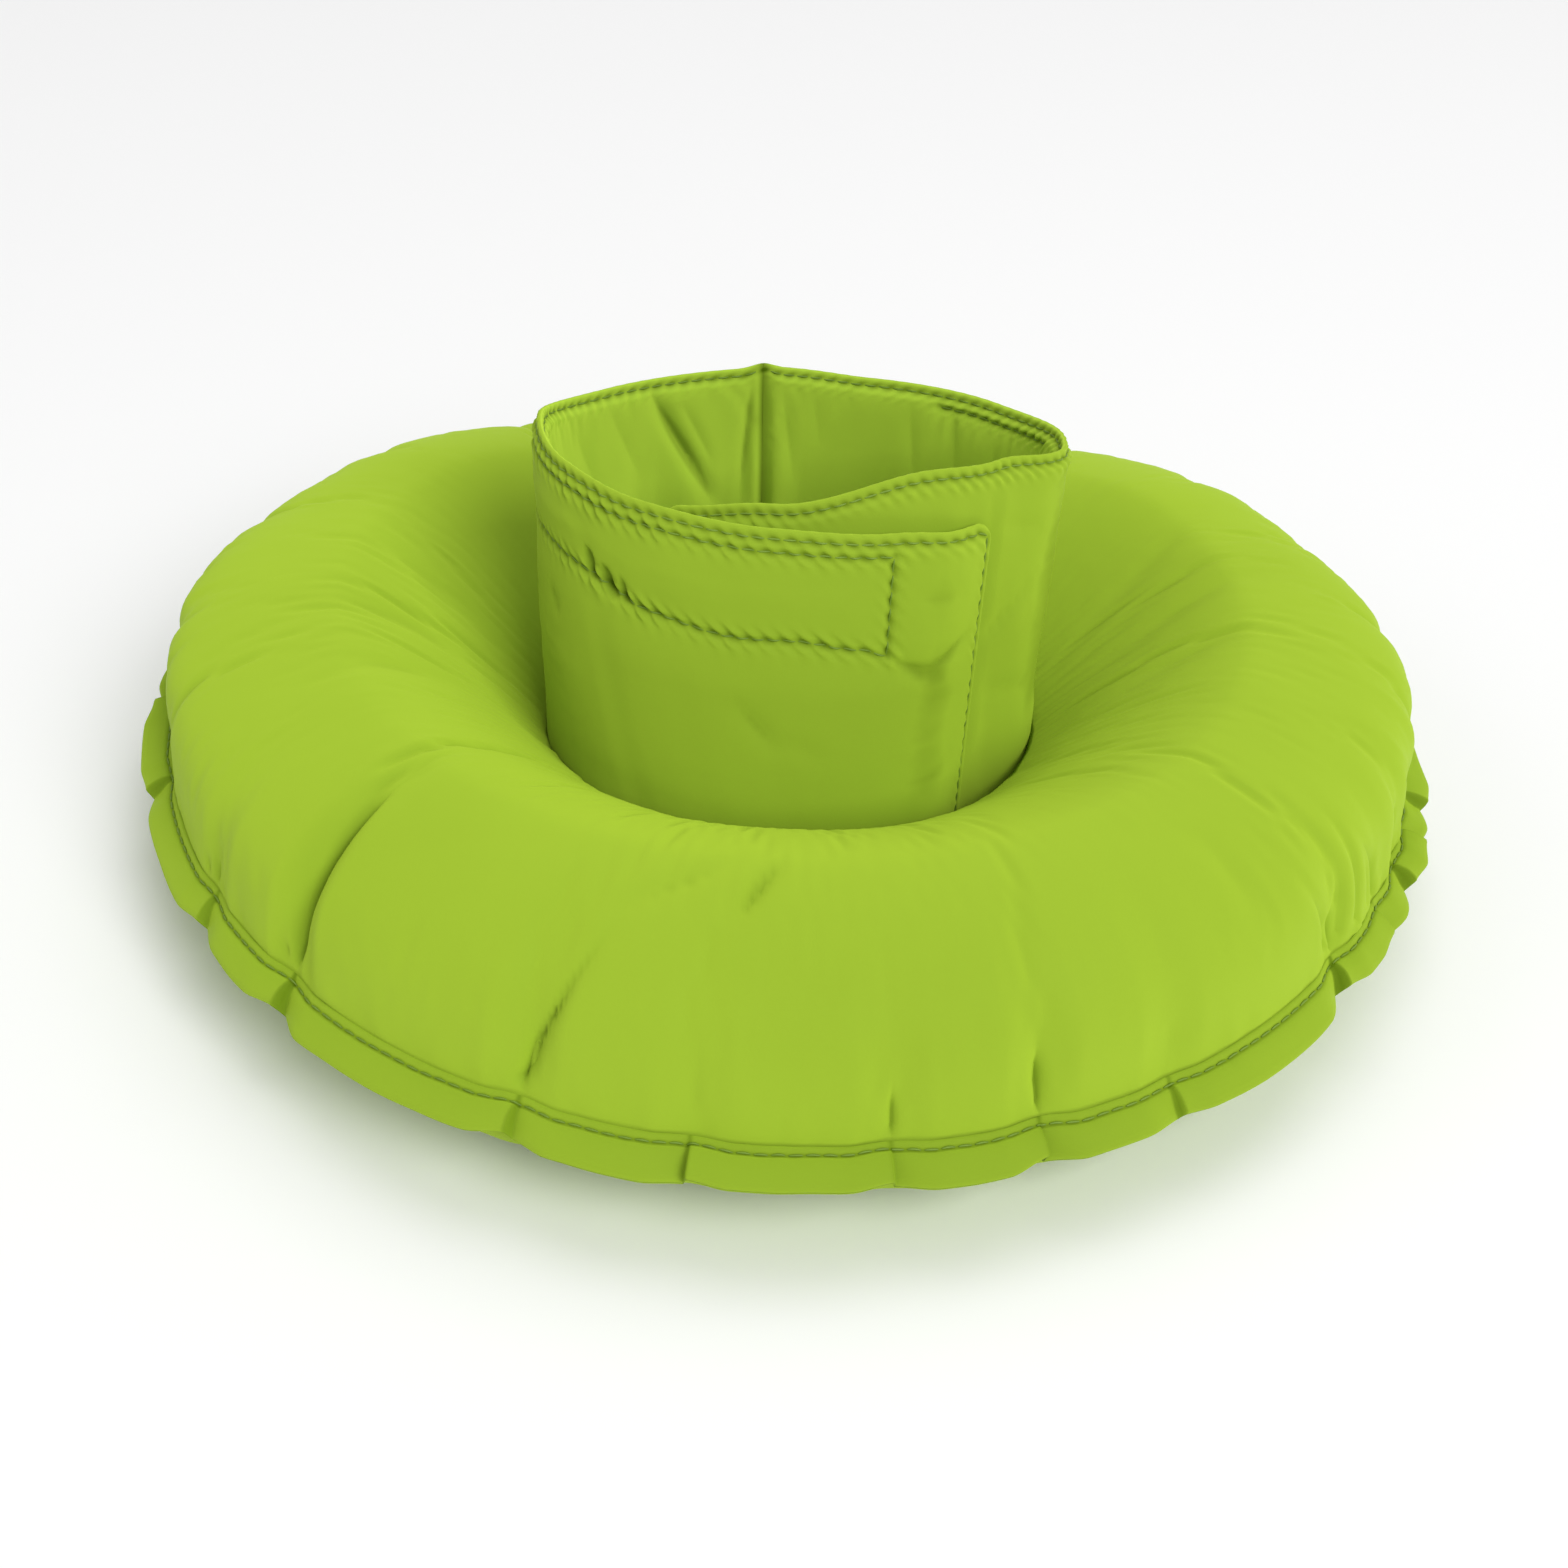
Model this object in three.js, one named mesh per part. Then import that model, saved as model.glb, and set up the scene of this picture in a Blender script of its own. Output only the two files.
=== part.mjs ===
import * as THREE from 'three';

// A fabric recovery collar for a cat. An air-filled ring cushion is sewn from a top and a bottom
// panel, whose edges form a flat flange with small tucks. A padded neck sleeve of two panels stands
// in the ring's hole, wraps over itself at the front and closes with hook-and-loop tape.
// Millimetres, +Z up. The ring lies on z = 0 and the sleeve's flap closes at the front, towards -Y.

// Ring cushion
const SEAM_RADIUS = 118.5; // stitch line round the ring's outer edge
const SEAM_HEIGHT = 22; // stitch line above the floor
const FLANGE_WIDTH = 7; // sewn edge outside the stitch line
const FLANGE_LAYER = 1.2; // one layer of that edge
const RING_HEIGHT = 53; // floor to the crest of the ring
const CREST_RADIUS = 86; // circle that the crest follows
const INNER_SEAM_HEIGHT = 27; // seam of both ring panels and the sleeve
const REST_INNER_RADIUS = 68; // flat underside, from here
const REST_OUTER_RADIUS = 97; // to here
const SIDE_BULGE = 6; // how far the ring's shoulder swells out between crest and outer seam
const COVER_THICKNESS = 1.6; // ring fabric
const CREASE_DEPTH = 3; // deepest crease of the ring fabric
const TUCK_PULL = 1.4; // how far a tuck draws the stitch line in

// Neck sleeve: half sizes of its outer face, at the ring and at the rim
const BASE_HALF_WIDTH = 47.5;
const BASE_HALF_DEPTH = 45;
const RIM_HALF_WIDTH = 49;
const RIM_FRONT_DEPTH = 34.5;
const RIM_BACK_DEPTH = 31;
const RIM_PINCH = 0.4; // how much narrower the back of the rim's left end is
const RIM_HEIGHT = 86; // floor to the rim
const FOOT_HEIGHT = 12; // floor to the sleeve's lower edge
const LEAN_HEIGHT = 33; // the sleeve is upright up to here
const SLEEVE_WALL = 3; // two fabric layers with wadding
const HEM_WIDTH = 4; // stitch line below the rim, and beside a free end
const FOLD_DEPTH = 3.2; // deepest fold of the sleeve wall

// Hook-and-loop tape
const TAPE_WIDTH = 18;
const TAPE_THICKNESS = 1.2;
const TAPE_DROP = 7; // tape's upper edge below the rim

const CLEARANCE = 0.3; // gap between neighbouring pieces

// Angles round the sleeve in degrees, 0 at the right and 270 at the front
const BACK_SEAM_ANGLE = 100;
const FLAP_END_ANGLE = 319;
const UNDERLAP_END_ANGLE = -124;
const LAP_START_ANGLE = -2; // the right panel starts to move in
const LAP_FULL_ANGLE = -36; // and is inside the flap from here
const HOOK_TAPE_ANGLES = { from: 182, to: 290 };
const LOOP_TAPE_ANGLES = { from: -118, to: -61 };
const FLAP_TUCK_ANGLE = HOOK_TAPE_ANGLES.to + 10; // the flap starts to lie down on the underlap

// Plan and height of the ring, row by row round it: shares of SEAM_RADIUS, SEAM_HEIGHT,
// RING_HEIGHT and INNER_SEAM_HEIGHT that are added to them, the share of SIDE_BULGE, and how far
// the flange hangs down, in degrees
const ringRows = [
  { at: 0, reach: 0.003, lift: -0.06, crest: 0.01, seat: -0.1, swell: 1, hang: 14 },
  { at: 30, reach: -0.014, lift: 0, crest: -0.03, seat: -0.05, swell: 0.8, hang: 12 },
  { at: 62, reach: -0.014, lift: 0.03, crest: -0.18, seat: 0, swell: 0.4, hang: 10 },
  { at: 90, reach: -0.008, lift: 0.05, crest: -0.22, seat: 0, swell: 0.3, hang: 8 },
  { at: 118, reach: -0.014, lift: 0.05, crest: -0.18, seat: 0, swell: 0.4, hang: 10 },
  { at: 150, reach: -0.018, lift: 0.05, crest: -0.03, seat: -0.1, swell: 0.8, hang: 12 },
  { at: 180, reach: -0.004, lift: 0.12, crest: 0.02, seat: -0.28, swell: 1, hang: 14 },
  { at: 215, reach: -0.008, lift: 0.08, crest: 0.01, seat: -0.1, swell: 0.4, hang: 50 },
  { at: 245, reach: -0.008, lift: 0, crest: 0, seat: 0, swell: 0.3, hang: 36 },
  { at: 270, reach: -0.012, lift: -0.06, crest: 0, seat: 0.05, swell: 0.2, hang: 22 },
  { at: 300, reach: -0.01, lift: -0.04, crest: 0.01, seat: 0, swell: 0.3, hang: 34 },
  { at: 325, reach: -0.007, lift: 0.05, crest: 0, seat: -0.05, swell: 0.4, hang: 48 },
];

// Tucks of the outer seam. depth is a share of CREASE_DEPTH, pull of TUCK_PULL, and the crease
// runs from share `from` of the panel's outline to the seam at 1, turning by `twist` degrees
const tuckRows = [
  { at: 5, depth: 0.35, pull: 0.6, from: 0.72, twist: 1 },
  { at: 21, depth: 0.3, pull: 0.5, from: 0.74, twist: 0 },
  { at: 38, depth: 0.5, pull: 0.8, from: 0.66, twist: -2 },
  { at: 56, depth: 0.3, pull: 0.5, from: 0.75, twist: 1 },
  { at: 75, depth: 0.45, pull: 0.7, from: 0.68, twist: 2 },
  { at: 92, depth: 0.3, pull: 0.5, from: 0.74, twist: 0 },
  { at: 109, depth: 0.5, pull: 0.8, from: 0.65, twist: -2 },
  { at: 127, depth: 0.3, pull: 0.6, from: 0.74, twist: 1 },
  { at: 146, depth: 0.4, pull: 0.7, from: 0.7, twist: -1 },
  { at: 165, depth: 0.35, pull: 0.6, from: 0.72, twist: 1 },
  { at: 183.5, depth: 0.35, pull: 0.8, from: 0.75, twist: 0 },
  { at: 196, depth: 0.3, pull: 0.6, from: 0.76, twist: 0 },
  { at: 214, depth: 0.4, pull: 0.7, from: 0.72, twist: 1 },
  { at: 227, depth: 1, pull: 1, from: 0.5, twist: -3 },
  { at: 250, depth: 0.7, pull: 0.9, from: 0.6, twist: 3 },
  { at: 264, depth: 0.3, pull: 0.7, from: 0.78, twist: 0 },
  { at: 278.5, depth: 0.35, pull: 0.7, from: 0.74, twist: 0 },
  { at: 290, depth: 0.65, pull: 1, from: 0.68, twist: 0 },
  { at: 303, depth: 0.3, pull: 0.6, from: 0.78, twist: 0 },
  { at: 323, depth: 0.8, pull: 1, from: 0.62, twist: 5 },
  { at: 337.5, depth: 0.5, pull: 0.7, from: 0.68, twist: 3 },
  { at: 351, depth: 0.35, pull: 0.6, from: 0.74, twist: 1 },
];

// Soft folds of the top panel beside the sleeve, from share `from` to share `to` of its outline
const neckFoldRows = [
  { at: 12, depth: 0.5, from: 0.04, to: 0.5, twist: 6 },
  { at: 60, depth: 0.4, from: 0.04, to: 0.44, twist: 3 },
  { at: 120, depth: 0.4, from: 0.04, to: 0.44, twist: -3 },
  { at: 165, depth: 0.5, from: 0.04, to: 0.52, twist: -6 },
  { at: 222, depth: 0.3, from: 0.06, to: 0.5, twist: 4 },
  { at: 312, depth: 0.3, from: 0.06, to: 0.42, twist: 3 },
];

// Rim line of both sleeve panels: rise is a share of RIM_HEIGHT that is added to it
const leftRimRows = [
  { at: 100, rise: -0.012 },
  { at: 140, rise: -0.005 },
  { at: 180, rise: 0.01 },
  { at: 235, rise: 0 },
  { at: 265, rise: -0.008 },
  { at: 290, rise: -0.028 },
  { at: 319, rise: -0.065 },
];
const rightRimRows = [
  { at: -124, rise: -0.05 },
  { at: -96, rise: -0.015 },
  { at: -60, rise: 0.05 },
  { at: -35, rise: 0.04 },
  { at: 0, rise: 0 },
  { at: 40, rise: -0.03 },
  { at: 75, rise: -0.035 },
  { at: 100, rise: -0.012 },
];

// Upright folds of the sleeve wall; low and high are shares of its height, depth of FOLD_DEPTH
const sleeveFoldRows = [
  { at: 42, depth: 0.25, spread: 12, low: 0.1, high: 0.9, twist: 4 },
  { at: 98, depth: 0.5, spread: 8, low: 0, high: 0.97, twist: 3 },
  { at: 121, depth: 1, spread: 11, low: 0.05, high: 0.95, twist: 12 },
  { at: 146, depth: 0.45, spread: 10, low: 0.1, high: 0.92, twist: 8 },
  { at: 205, depth: -0.3, spread: 18, low: 0.3, high: 0.7, twist: 0 },
  { at: 338, depth: -0.3, spread: 14, low: 0.35, high: 0.8, twist: 0 },
];

// Mesh fineness
const STATION_STEP = 5.5; // widest step round the ring, in degrees
const INNER_ARC_STEPS = 5;
const OUTER_ARC_STEPS = 6;
const UNDER_ARC_STEPS = 3;
const SLEEVE_STEP = 6.5; // widest step round the sleeve, in degrees
const TUCK_SPREAD = 4.6; // half width of a tuck, in degrees
const NECK_FOLD_SPREAD = 12; // half width of a soft fold, in degrees
const INNER_SLOPE = 1.4; // 1 is a straight slope from the crest to the sleeve, 2 a rounded one
const WALL_FULLNESS = 2.05; // 2 is an elliptical wall, more is fuller

const FABRIC_GREEN = 0xa2c736;
const TAPE_GREEN = 0x8fae33;

const radians = THREE.MathUtils.degToRad;

/** Rises smoothly from 0 at `low` to 1 at `high`. */
function ease(low, high, value) {
  const t = THREE.MathUtils.clamp((value - low) / (high - low), 0, 1);
  return t * t * (3 - 2 * t);
}

/** Smallest turn between two angles in degrees, signed. */
function turnBetween(from, to) {
  return THREE.MathUtils.euclideanModulo(to - from + 180, 360) - 180;
}

/** Bell of height 1 and half width 1. */
function bell(offset) {
  return Math.abs(offset) < 1 ? (1 - offset * offset) ** 2 : 0;
}

/** Eased value of one column of a table along an open run of angles. */
function alongRows(rows, column, angle) {
  const next = rows.findIndex((row) => row.at > angle);
  if (next === 0) return rows[0][column];
  if (next === -1) return rows[rows.length - 1][column];
  const [before, after] = [rows[next - 1], rows[next]];
  return THREE.MathUtils.lerp(before[column], after[column], ease(before.at, after.at, angle));
}

/** The same round a full turn, where the last row leads back to the first. */
function roundRows(rows, column, angle) {
  const turned = THREE.MathUtils.euclideanModulo(angle, 360);
  return alongRows([...rows, { ...rows[0], at: rows[0].at + 360 }], column, turned);
}

/**
 * Joins equal point loops into one closed body; an open run gets an end wall at each end.
 * The second half of a loop is the wall's other face, and both faces are split alike.
 */
function bodyFromSections(sections, closed) {
  const size = sections[0].length;
  const points = sections.flat();
  const faces = [];
  const quad = (a, b, c, d) => faces.push(a, b, c, a, c, d);
  const spans = closed ? sections.length : sections.length - 1;
  for (let i = 0; i < spans; i += 1) {
    const [here, there] = [i * size, ((i + 1) % sections.length) * size];
    for (let j = 0; j < size; j += 1) {
      const next = (j + 1) % size;
      if (j < size / 2) quad(here + j, here + next, there + next, there + j);
      else quad(here + next, there + next, there + j, here + j);
    }
  }
  if (!closed) {
    const last = (sections.length - 1) * size;
    for (let j = 0; j < size / 2 - 1; j += 1) {
      const mate = size - 1 - j;
      quad(j, mate, mate - 1, j + 1);
      quad(last + j, last + j + 1, last + mate - 1, last + mate);
    }
  }
  const volume = new THREE.Vector3();
  let total = 0;
  for (let f = 0; f < faces.length; f += 3) {
    volume.crossVectors(points[faces[f + 1]], points[faces[f + 2]]);
    total += volume.dot(points[faces[f]]);
  }
  if (total < 0) faces.reverse();
  const geometry = new THREE.BufferGeometry().setFromPoints(points);
  geometry.setIndex(faces);
  geometry.computeVertexNormals();
  return geometry;
}

// Ring cushion

/** Angles round the ring: one on every tuck, with even steps between them. */
function ringStations() {
  const angles = [];
  tuckRows.forEach((tuck, i) => {
    const next = i + 1 < tuckRows.length ? tuckRows[i + 1].at : tuckRows[0].at + 360;
    const steps = Math.ceil((next - tuck.at) / STATION_STEP);
    for (let k = 0; k < steps; k += 1) angles.push(tuck.at + ((next - tuck.at) * k) / steps);
  });
  return angles;
}

/** How strongly the tucks gather the outer seam at this angle, from 0 to 1. */
function gatherAt(angle) {
  return tuckRows.reduce((sum, tuck) => sum + tuck.pull * bell(turnBetween(tuck.at, angle) / TUCK_SPREAD), 0);
}

/** Radius of the hole that the ring leaves for the sleeve. */
function holeRadius(angle) {
  const [width, depth] = [BASE_HALF_WIDTH + CLEARANCE, BASE_HALF_DEPTH + CLEARANCE];
  return (width * depth) / Math.hypot(depth * Math.cos(radians(angle)), width * Math.sin(radians(angle)));
}

/** Stitch line, flange edge and crest of the ring at one angle. */
function ringSizes(angle) {
  const gather = gatherAt(angle);
  const seamRadius = SEAM_RADIUS * (1 + roundRows(ringRows, 'reach', angle)) - TUCK_PULL * gather;
  const seamHeight = SEAM_HEIGHT * (1 + roundRows(ringRows, 'lift', angle));
  const hang = radians(roundRows(ringRows, 'hang', angle));
  return {
    seamRadius,
    seamHeight,
    hang,
    edgeRadius: seamRadius + FLANGE_WIDTH * Math.cos(hang) - (TUCK_PULL * gather) / 2,
    edgeHeight: seamHeight - FLANGE_WIDTH * Math.sin(hang),
    crestHeight: RING_HEIGHT * (1 + roundRows(ringRows, 'crest', angle)),
    innerSeamHeight: INNER_SEAM_HEIGHT * (1 + roundRows(ringRows, 'seat', angle)),
    bulge: SIDE_BULGE * roundRows(ringRows, 'swell', angle),
    holeRadius: holeRadius(angle),
  };
}

/** Depth of the creases and folds of the top panel, at share `along` of its outline. */
function creaseDepth(angle, along) {
  let depth = 0;
  for (const tuck of tuckRows) {
    const line = tuck.at + tuck.twist * (1 - along);
    const run = ease(tuck.from, (tuck.from + 2) / 3, along) * (1 - ease(0.9, 1, along));
    depth += tuck.depth * run * bell(turnBetween(line, angle) / TUCK_SPREAD);
  }
  for (const fold of neckFoldRows) {
    const line = fold.at + fold.twist * (along - fold.from);
    const middle = (fold.from + fold.to) / 2;
    const run = ease(fold.from, middle, along) * (1 - ease(middle, fold.to, along));
    depth += fold.depth * run * bell(turnBetween(line, angle) / NECK_FOLD_SPREAD);
  }
  return depth * CREASE_DEPTH;
}

/** Wall beside the sleeve, from [1, 0] at its seam, share 0, to [0, 1] at the crest, share 1. */
function innerSlope(share) {
  return [1 - share, 1 - (1 - share) ** INNER_SLOPE];
}

/** Rounded wall from [1, 0] at its seam, share 0, to [0, 1] where it lies level, share 1. */
function roundWall(share) {
  const power = 2 / WALL_FULLNESS;
  return [Math.cos(radians(90 * share)) ** power, Math.sin(radians(90 * share)) ** power];
}

/** Point [radius, height] of a ring wall between a seam and a level place, moved inside by `inset`. */
function wallPoint(seam, level, shape, share, inset) {
  const [side, rise] = shape(share);
  const [over, up] = [seam.radius - level.radius, level.height - seam.height];
  const swell = (seam.bulge ?? 0) * Math.sin(radians(180 * share)) ** 2;
  const outwards = swell - inset * Math.cos(radians(90 * share));
  const upwards = up * rise - Math.sign(up) * inset * Math.sin(radians(90 * share));
  return [level.radius + over * side + Math.sign(over) * outwards, seam.height + upwards];
}

/** Outline of the top panel at one angle, from the inner seam over the crest to the outer seam. */
function topOutline(angle, inset) {
  const sizes = ringSizes(angle);
  const crest = { radius: CREST_RADIUS, height: sizes.crestHeight };
  const innerSeam = { radius: sizes.holeRadius, height: sizes.innerSeamHeight + CLEARANCE / 2 };
  const outerSeam = {
    radius: sizes.seamRadius,
    height: sizes.seamHeight + CLEARANCE / 2 + FLANGE_LAYER,
    bulge: sizes.bulge,
  };
  const steps = INNER_ARC_STEPS + OUTER_ARC_STEPS;
  return Array.from({ length: steps + 1 }, (_, i) => {
    const depth = inset + creaseDepth(angle, i / steps);
    if (i <= INNER_ARC_STEPS) return wallPoint(innerSeam, crest, innerSlope, i / INNER_ARC_STEPS, depth);
    return wallPoint(outerSeam, crest, roundWall, (steps - i) / OUTER_ARC_STEPS, depth);
  });
}

/** Outline of the bottom panel, from the inner seam over the flat underside to the outer seam. */
function bottomOutline(angle, inset) {
  const sizes = ringSizes(angle);
  const innerSeam = { radius: sizes.holeRadius, height: sizes.innerSeamHeight - CLEARANCE / 2 };
  const outerSeam = { radius: sizes.seamRadius, height: sizes.seamHeight - CLEARANCE / 2 - FLANGE_LAYER };
  const shares = Array.from({ length: UNDER_ARC_STEPS + 1 }, (_, i) => i / UNDER_ARC_STEPS);
  const under = (seam, radius, share) => wallPoint(seam, { radius, height: 0 }, roundWall, share, inset);
  return [
    ...shares.map((share) => under(innerSeam, REST_INNER_RADIUS, share)),
    ...shares.reverse().map((share) => under(outerSeam, REST_OUTER_RADIUS, share)),
  ];
}

/** One ring panel: its outer face, the flange layer and its inner face, lofted round the ring. */
function ringPanel(outline, side) {
  const sections = ringStations().map((angle) => {
    const sizes = ringSizes(angle);
    const inner = outline(angle, COVER_THICKNESS);
    const [across, up] = [Math.sin(sizes.hang), Math.cos(sizes.hang)];
    const near = (side * CLEARANCE) / 2;
    const far = near + side * FLANGE_LAYER;
    const flange = [
      [sizes.edgeRadius + far * across, sizes.edgeHeight + far * up],
      [sizes.edgeRadius + near * across, sizes.edgeHeight + near * up],
      [sizes.seamRadius, sizes.seamHeight + near / up],
      [inner[inner.length - 1][0], sizes.seamHeight + near / up],
    ];
    const loop = [...outline(angle, 0), ...flange, ...inner.reverse()];
    const [cos, sin] = [Math.cos(radians(angle)), Math.sin(radians(angle))];
    return loop.map(([radius, height]) => new THREE.Vector3(radius * cos, radius * sin, height));
  });
  return bodyFromSections(sections, true);
}

// Neck sleeve

/** Inward dent of the sleeve wall from its folds. */
function foldDepth(angle, height) {
  const share = (height - FOOT_HEIGHT) / (RIM_HEIGHT - FOOT_HEIGHT);
  const free = ease(LEAN_HEIGHT - HEM_WIDTH, LEAN_HEIGHT + HEM_WIDTH, height);
  return sleeveFoldRows.reduce((sum, fold) => {
    const middle = (fold.low + fold.high) / 2;
    const run = ease(fold.low, middle, share) * (1 - ease(middle, fold.high, share));
    const line = fold.at + fold.twist * (middle - share);
    return sum + FOLD_DEPTH * fold.depth * free * run * bell(turnBetween(line, angle) / fold.spread);
  }, 0);
}

/** Point of the sleeve's outline at an angle and height, before the wall's offset. */
function sleeveOutline(angle, height) {
  const lean = THREE.MathUtils.clamp((height - LEAN_HEIGHT) / (RIM_HEIGHT - LEAN_HEIGHT), 0, 1.1) ** 1.2;
  const [cos, sin] = [Math.cos(radians(angle)), Math.sin(radians(angle))];
  const rimDepth = sin < 0 ? RIM_FRONT_DEPTH : RIM_BACK_DEPTH * (1 - RIM_PINCH * ((1 - cos) / 2) ** 3);
  return new THREE.Vector3(
    THREE.MathUtils.lerp(BASE_HALF_WIDTH, RIM_HALF_WIDTH, lean) * cos,
    THREE.MathUtils.lerp(BASE_HALF_DEPTH, rimDepth, lean) * sin,
    height,
  );
}

/** Point of the sleeve at an angle and height, moved inwards by the wall offset and the folds. */
function sleevePoint(angle, height, offset) {
  const ahead = sleeveOutline(angle + 0.5, height);
  const tangent = ahead.sub(sleeveOutline(angle - 0.5, height)).normalize();
  const inward = new THREE.Vector3(-tangent.y, tangent.x, 0);
  return sleeveOutline(angle, height).addScaledVector(inward, offset + foldDepth(angle, height));
}

/** Length in degrees of a distance along the sleeve near its rim. */
function asTurn(distance) {
  return THREE.MathUtils.radToDeg(distance / ((RIM_HALF_WIDTH + RIM_FRONT_DEPTH) / 2));
}

/** Even steps from one angle to another, with the end hems' stitch lines added. */
function sleeveStations(from, to, hemAtFrom, hemAtTo) {
  const hem = asTurn(HEM_WIDTH);
  const marks = [from, to];
  if (hemAtFrom) marks.push(from + hem / 4, from + hem, from + 2 * hem);
  if (hemAtTo) marks.push(to - hem / 4, to - hem, to - 2 * hem);
  marks.sort((a, b) => a - b);
  return marks.flatMap((mark, i) => {
    if (i === marks.length - 1) return [mark];
    const steps = Math.max(1, Math.ceil((marks[i + 1] - mark) / SLEEVE_STEP));
    return Array.from({ length: steps }, (_, k) => mark + ((marks[i + 1] - mark) * k) / steps);
  });
}

/** A padded panel of the sleeve: thin at its edges and stitch lines, full between them. */
function sleevePanel({ from, to, hemAtFrom, hemAtTo, rimRows, offsetAt }) {
  const hem = asTurn(HEM_WIDTH);
  const endDistances = (angle) => [hemAtFrom ? angle - from : Infinity, hemAtTo ? to - angle : Infinity];
  const sections = sleeveStations(from, to, hemAtFrom, hemAtTo).map((angle) => {
    const toEnd = Math.min(...endDistances(angle));
    const corner = HEM_WIDTH * (1 - ease(0, hem, toEnd)) * 0.6;
    const rim = RIM_HEIGHT * (1 + alongRows(rimRows, 'rise', angle)) - corner;
    const endFullness = toEnd < hem / 8 ? 0.45 : 1 - 0.45 * bell((toEnd - hem) / (hem / 2));
    const stitch = rim - HEM_WIDTH;
    const rise = (share) => FOOT_HEIGHT + (stitch - FOOT_HEIGHT) * share;
    const levels = [
      { height: FOOT_HEIGHT, fullness: 0.5 },
      { height: rise(0.04), fullness: 1 },
      { height: rise(0.3), fullness: 1 },
      { height: rise(0.5), fullness: 1 },
      { height: rise(0.7), fullness: 1 },
      { height: rise(0.9), fullness: 1 },
      { height: stitch, fullness: 0.6 },
      { height: rim - HEM_WIDTH / 2, fullness: 1 },
      { height: rim - HEM_WIDTH / 10, fullness: 0.8 },
      { height: rim, fullness: 0.35 },
    ];
    const face = (level, share) => {
      const slack = (SLEEVE_WALL * (1 - level.fullness * endFullness)) / 2;
      const depth = share ? SLEEVE_WALL - slack : slack;
      return sleevePoint(angle, level.height, offsetAt(angle) + depth);
    };
    const outside = levels.map((level) => face(level, 0));
    const inside = levels.map((level) => face(level, 1));
    return [...outside, ...inside.reverse()];
  });
  return bodyFromSections(sections, false);
}

/** A tape that follows the flap's rim at a depth inside the sleeve's outer face. */
function tapeStrip({ from, to }, depth) {
  const steps = Math.ceil((to - from) / SLEEVE_STEP);
  const sections = Array.from({ length: steps + 1 }, (_, i) => {
    const angle = from + ((to - from) * i) / steps;
    const flapAngle = THREE.MathUtils.euclideanModulo(angle, 360);
    const top = RIM_HEIGHT * (1 + alongRows(leftRimRows, 'rise', flapAngle)) - TAPE_DROP;
    const heights = [0, 1 / 2, 1].map((share) => top - TAPE_WIDTH * (1 - share));
    const outside = heights.map((height) => sleevePoint(angle, height, depth));
    const inside = heights.map((height) => sleevePoint(angle, height, depth + TAPE_THICKNESS));
    return [...outside, ...inside.reverse()];
  });
  return bodyFromSections(sections, false);
}

const hookDepth = SLEEVE_WALL + CLEARANCE;
const loopDepth = hookDepth + TAPE_THICKNESS + CLEARANCE;
const underlapDepth = loopDepth + TAPE_THICKNESS + CLEARANCE;
const seamGap = asTurn(CLEARANCE) * 0.5;

/** The right panel runs at the sleeve's face and moves inside the flap at the front. */
function rightOffset(angle) {
  return underlapDepth * ease(-LAP_START_ANGLE, -LAP_FULL_ANGLE, -angle);
}

/** The left panel's flap lies down on the underlap past the tapes. */
function leftOffset(angle) {
  const reach = underlapDepth - SLEEVE_WALL - CLEARANCE;
  return reach * ease(FLAP_TUCK_ANGLE, FLAP_END_ANGLE - asTurn(HEM_WIDTH) / 2, angle);
}

const fabric = () => new THREE.MeshStandardMaterial({ color: FABRIC_GREEN, roughness: 0.62, metalness: 0 });
const tape = () => new THREE.MeshStandardMaterial({ color: TAPE_GREEN, roughness: 0.95, metalness: 0 });

/** A named mesh for one piece. */
function piece(name, geometry, material) {
  const mesh = new THREE.Mesh(geometry, material);
  mesh.name = name;
  return mesh;
}

const ring = new THREE.Group();
ring.add(
  piece('ring_top_panel', ringPanel(topOutline, 1), fabric()),
  piece('ring_bottom_panel', ringPanel(bottomOutline, -1), fabric()),
);

const sleeve = new THREE.Group();
sleeve.add(
  piece(
    'sleeve_left_panel',
    sleevePanel({
      from: BACK_SEAM_ANGLE + seamGap,
      to: FLAP_END_ANGLE,
      hemAtFrom: false,
      hemAtTo: true,
      rimRows: leftRimRows,
      offsetAt: leftOffset,
    }),
    fabric(),
  ),
  piece(
    'sleeve_right_panel',
    sleevePanel({
      from: UNDERLAP_END_ANGLE,
      to: BACK_SEAM_ANGLE - seamGap,
      hemAtFrom: true,
      hemAtTo: false,
      rimRows: rightRimRows,
      offsetAt: rightOffset,
    }),
    fabric(),
  ),
  piece('hook_tape', tapeStrip(HOOK_TAPE_ANGLES, hookDepth), tape()),
  piece('loop_tape', tapeStrip(LOOP_TAPE_ANGLES, loopDepth), tape()),
);

const collar = new THREE.Group();
collar.add(ring, sleeve);

export default collar;
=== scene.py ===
"""An inflatable recovery collar of lime green satin polyester, unworn and resting on its ring.

The air-filled ring is sewn from a top and a bottom panel, whose edges form a flange with small
pleats. A padded neck sleeve of two panels stands in the ring's hole, wraps over itself at the
front and closes with hook-and-loop tape. Sizes are in millimetres and angles in degrees, 0 at
the right and 270 at the front, until a mesh is made, which is in metres.
"""

import logging
import math
from collections.abc import Sequence
from dataclasses import dataclass, field
from enum import Enum

import bpy
import numpy as np
from mathutils import Matrix, Vector

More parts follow.
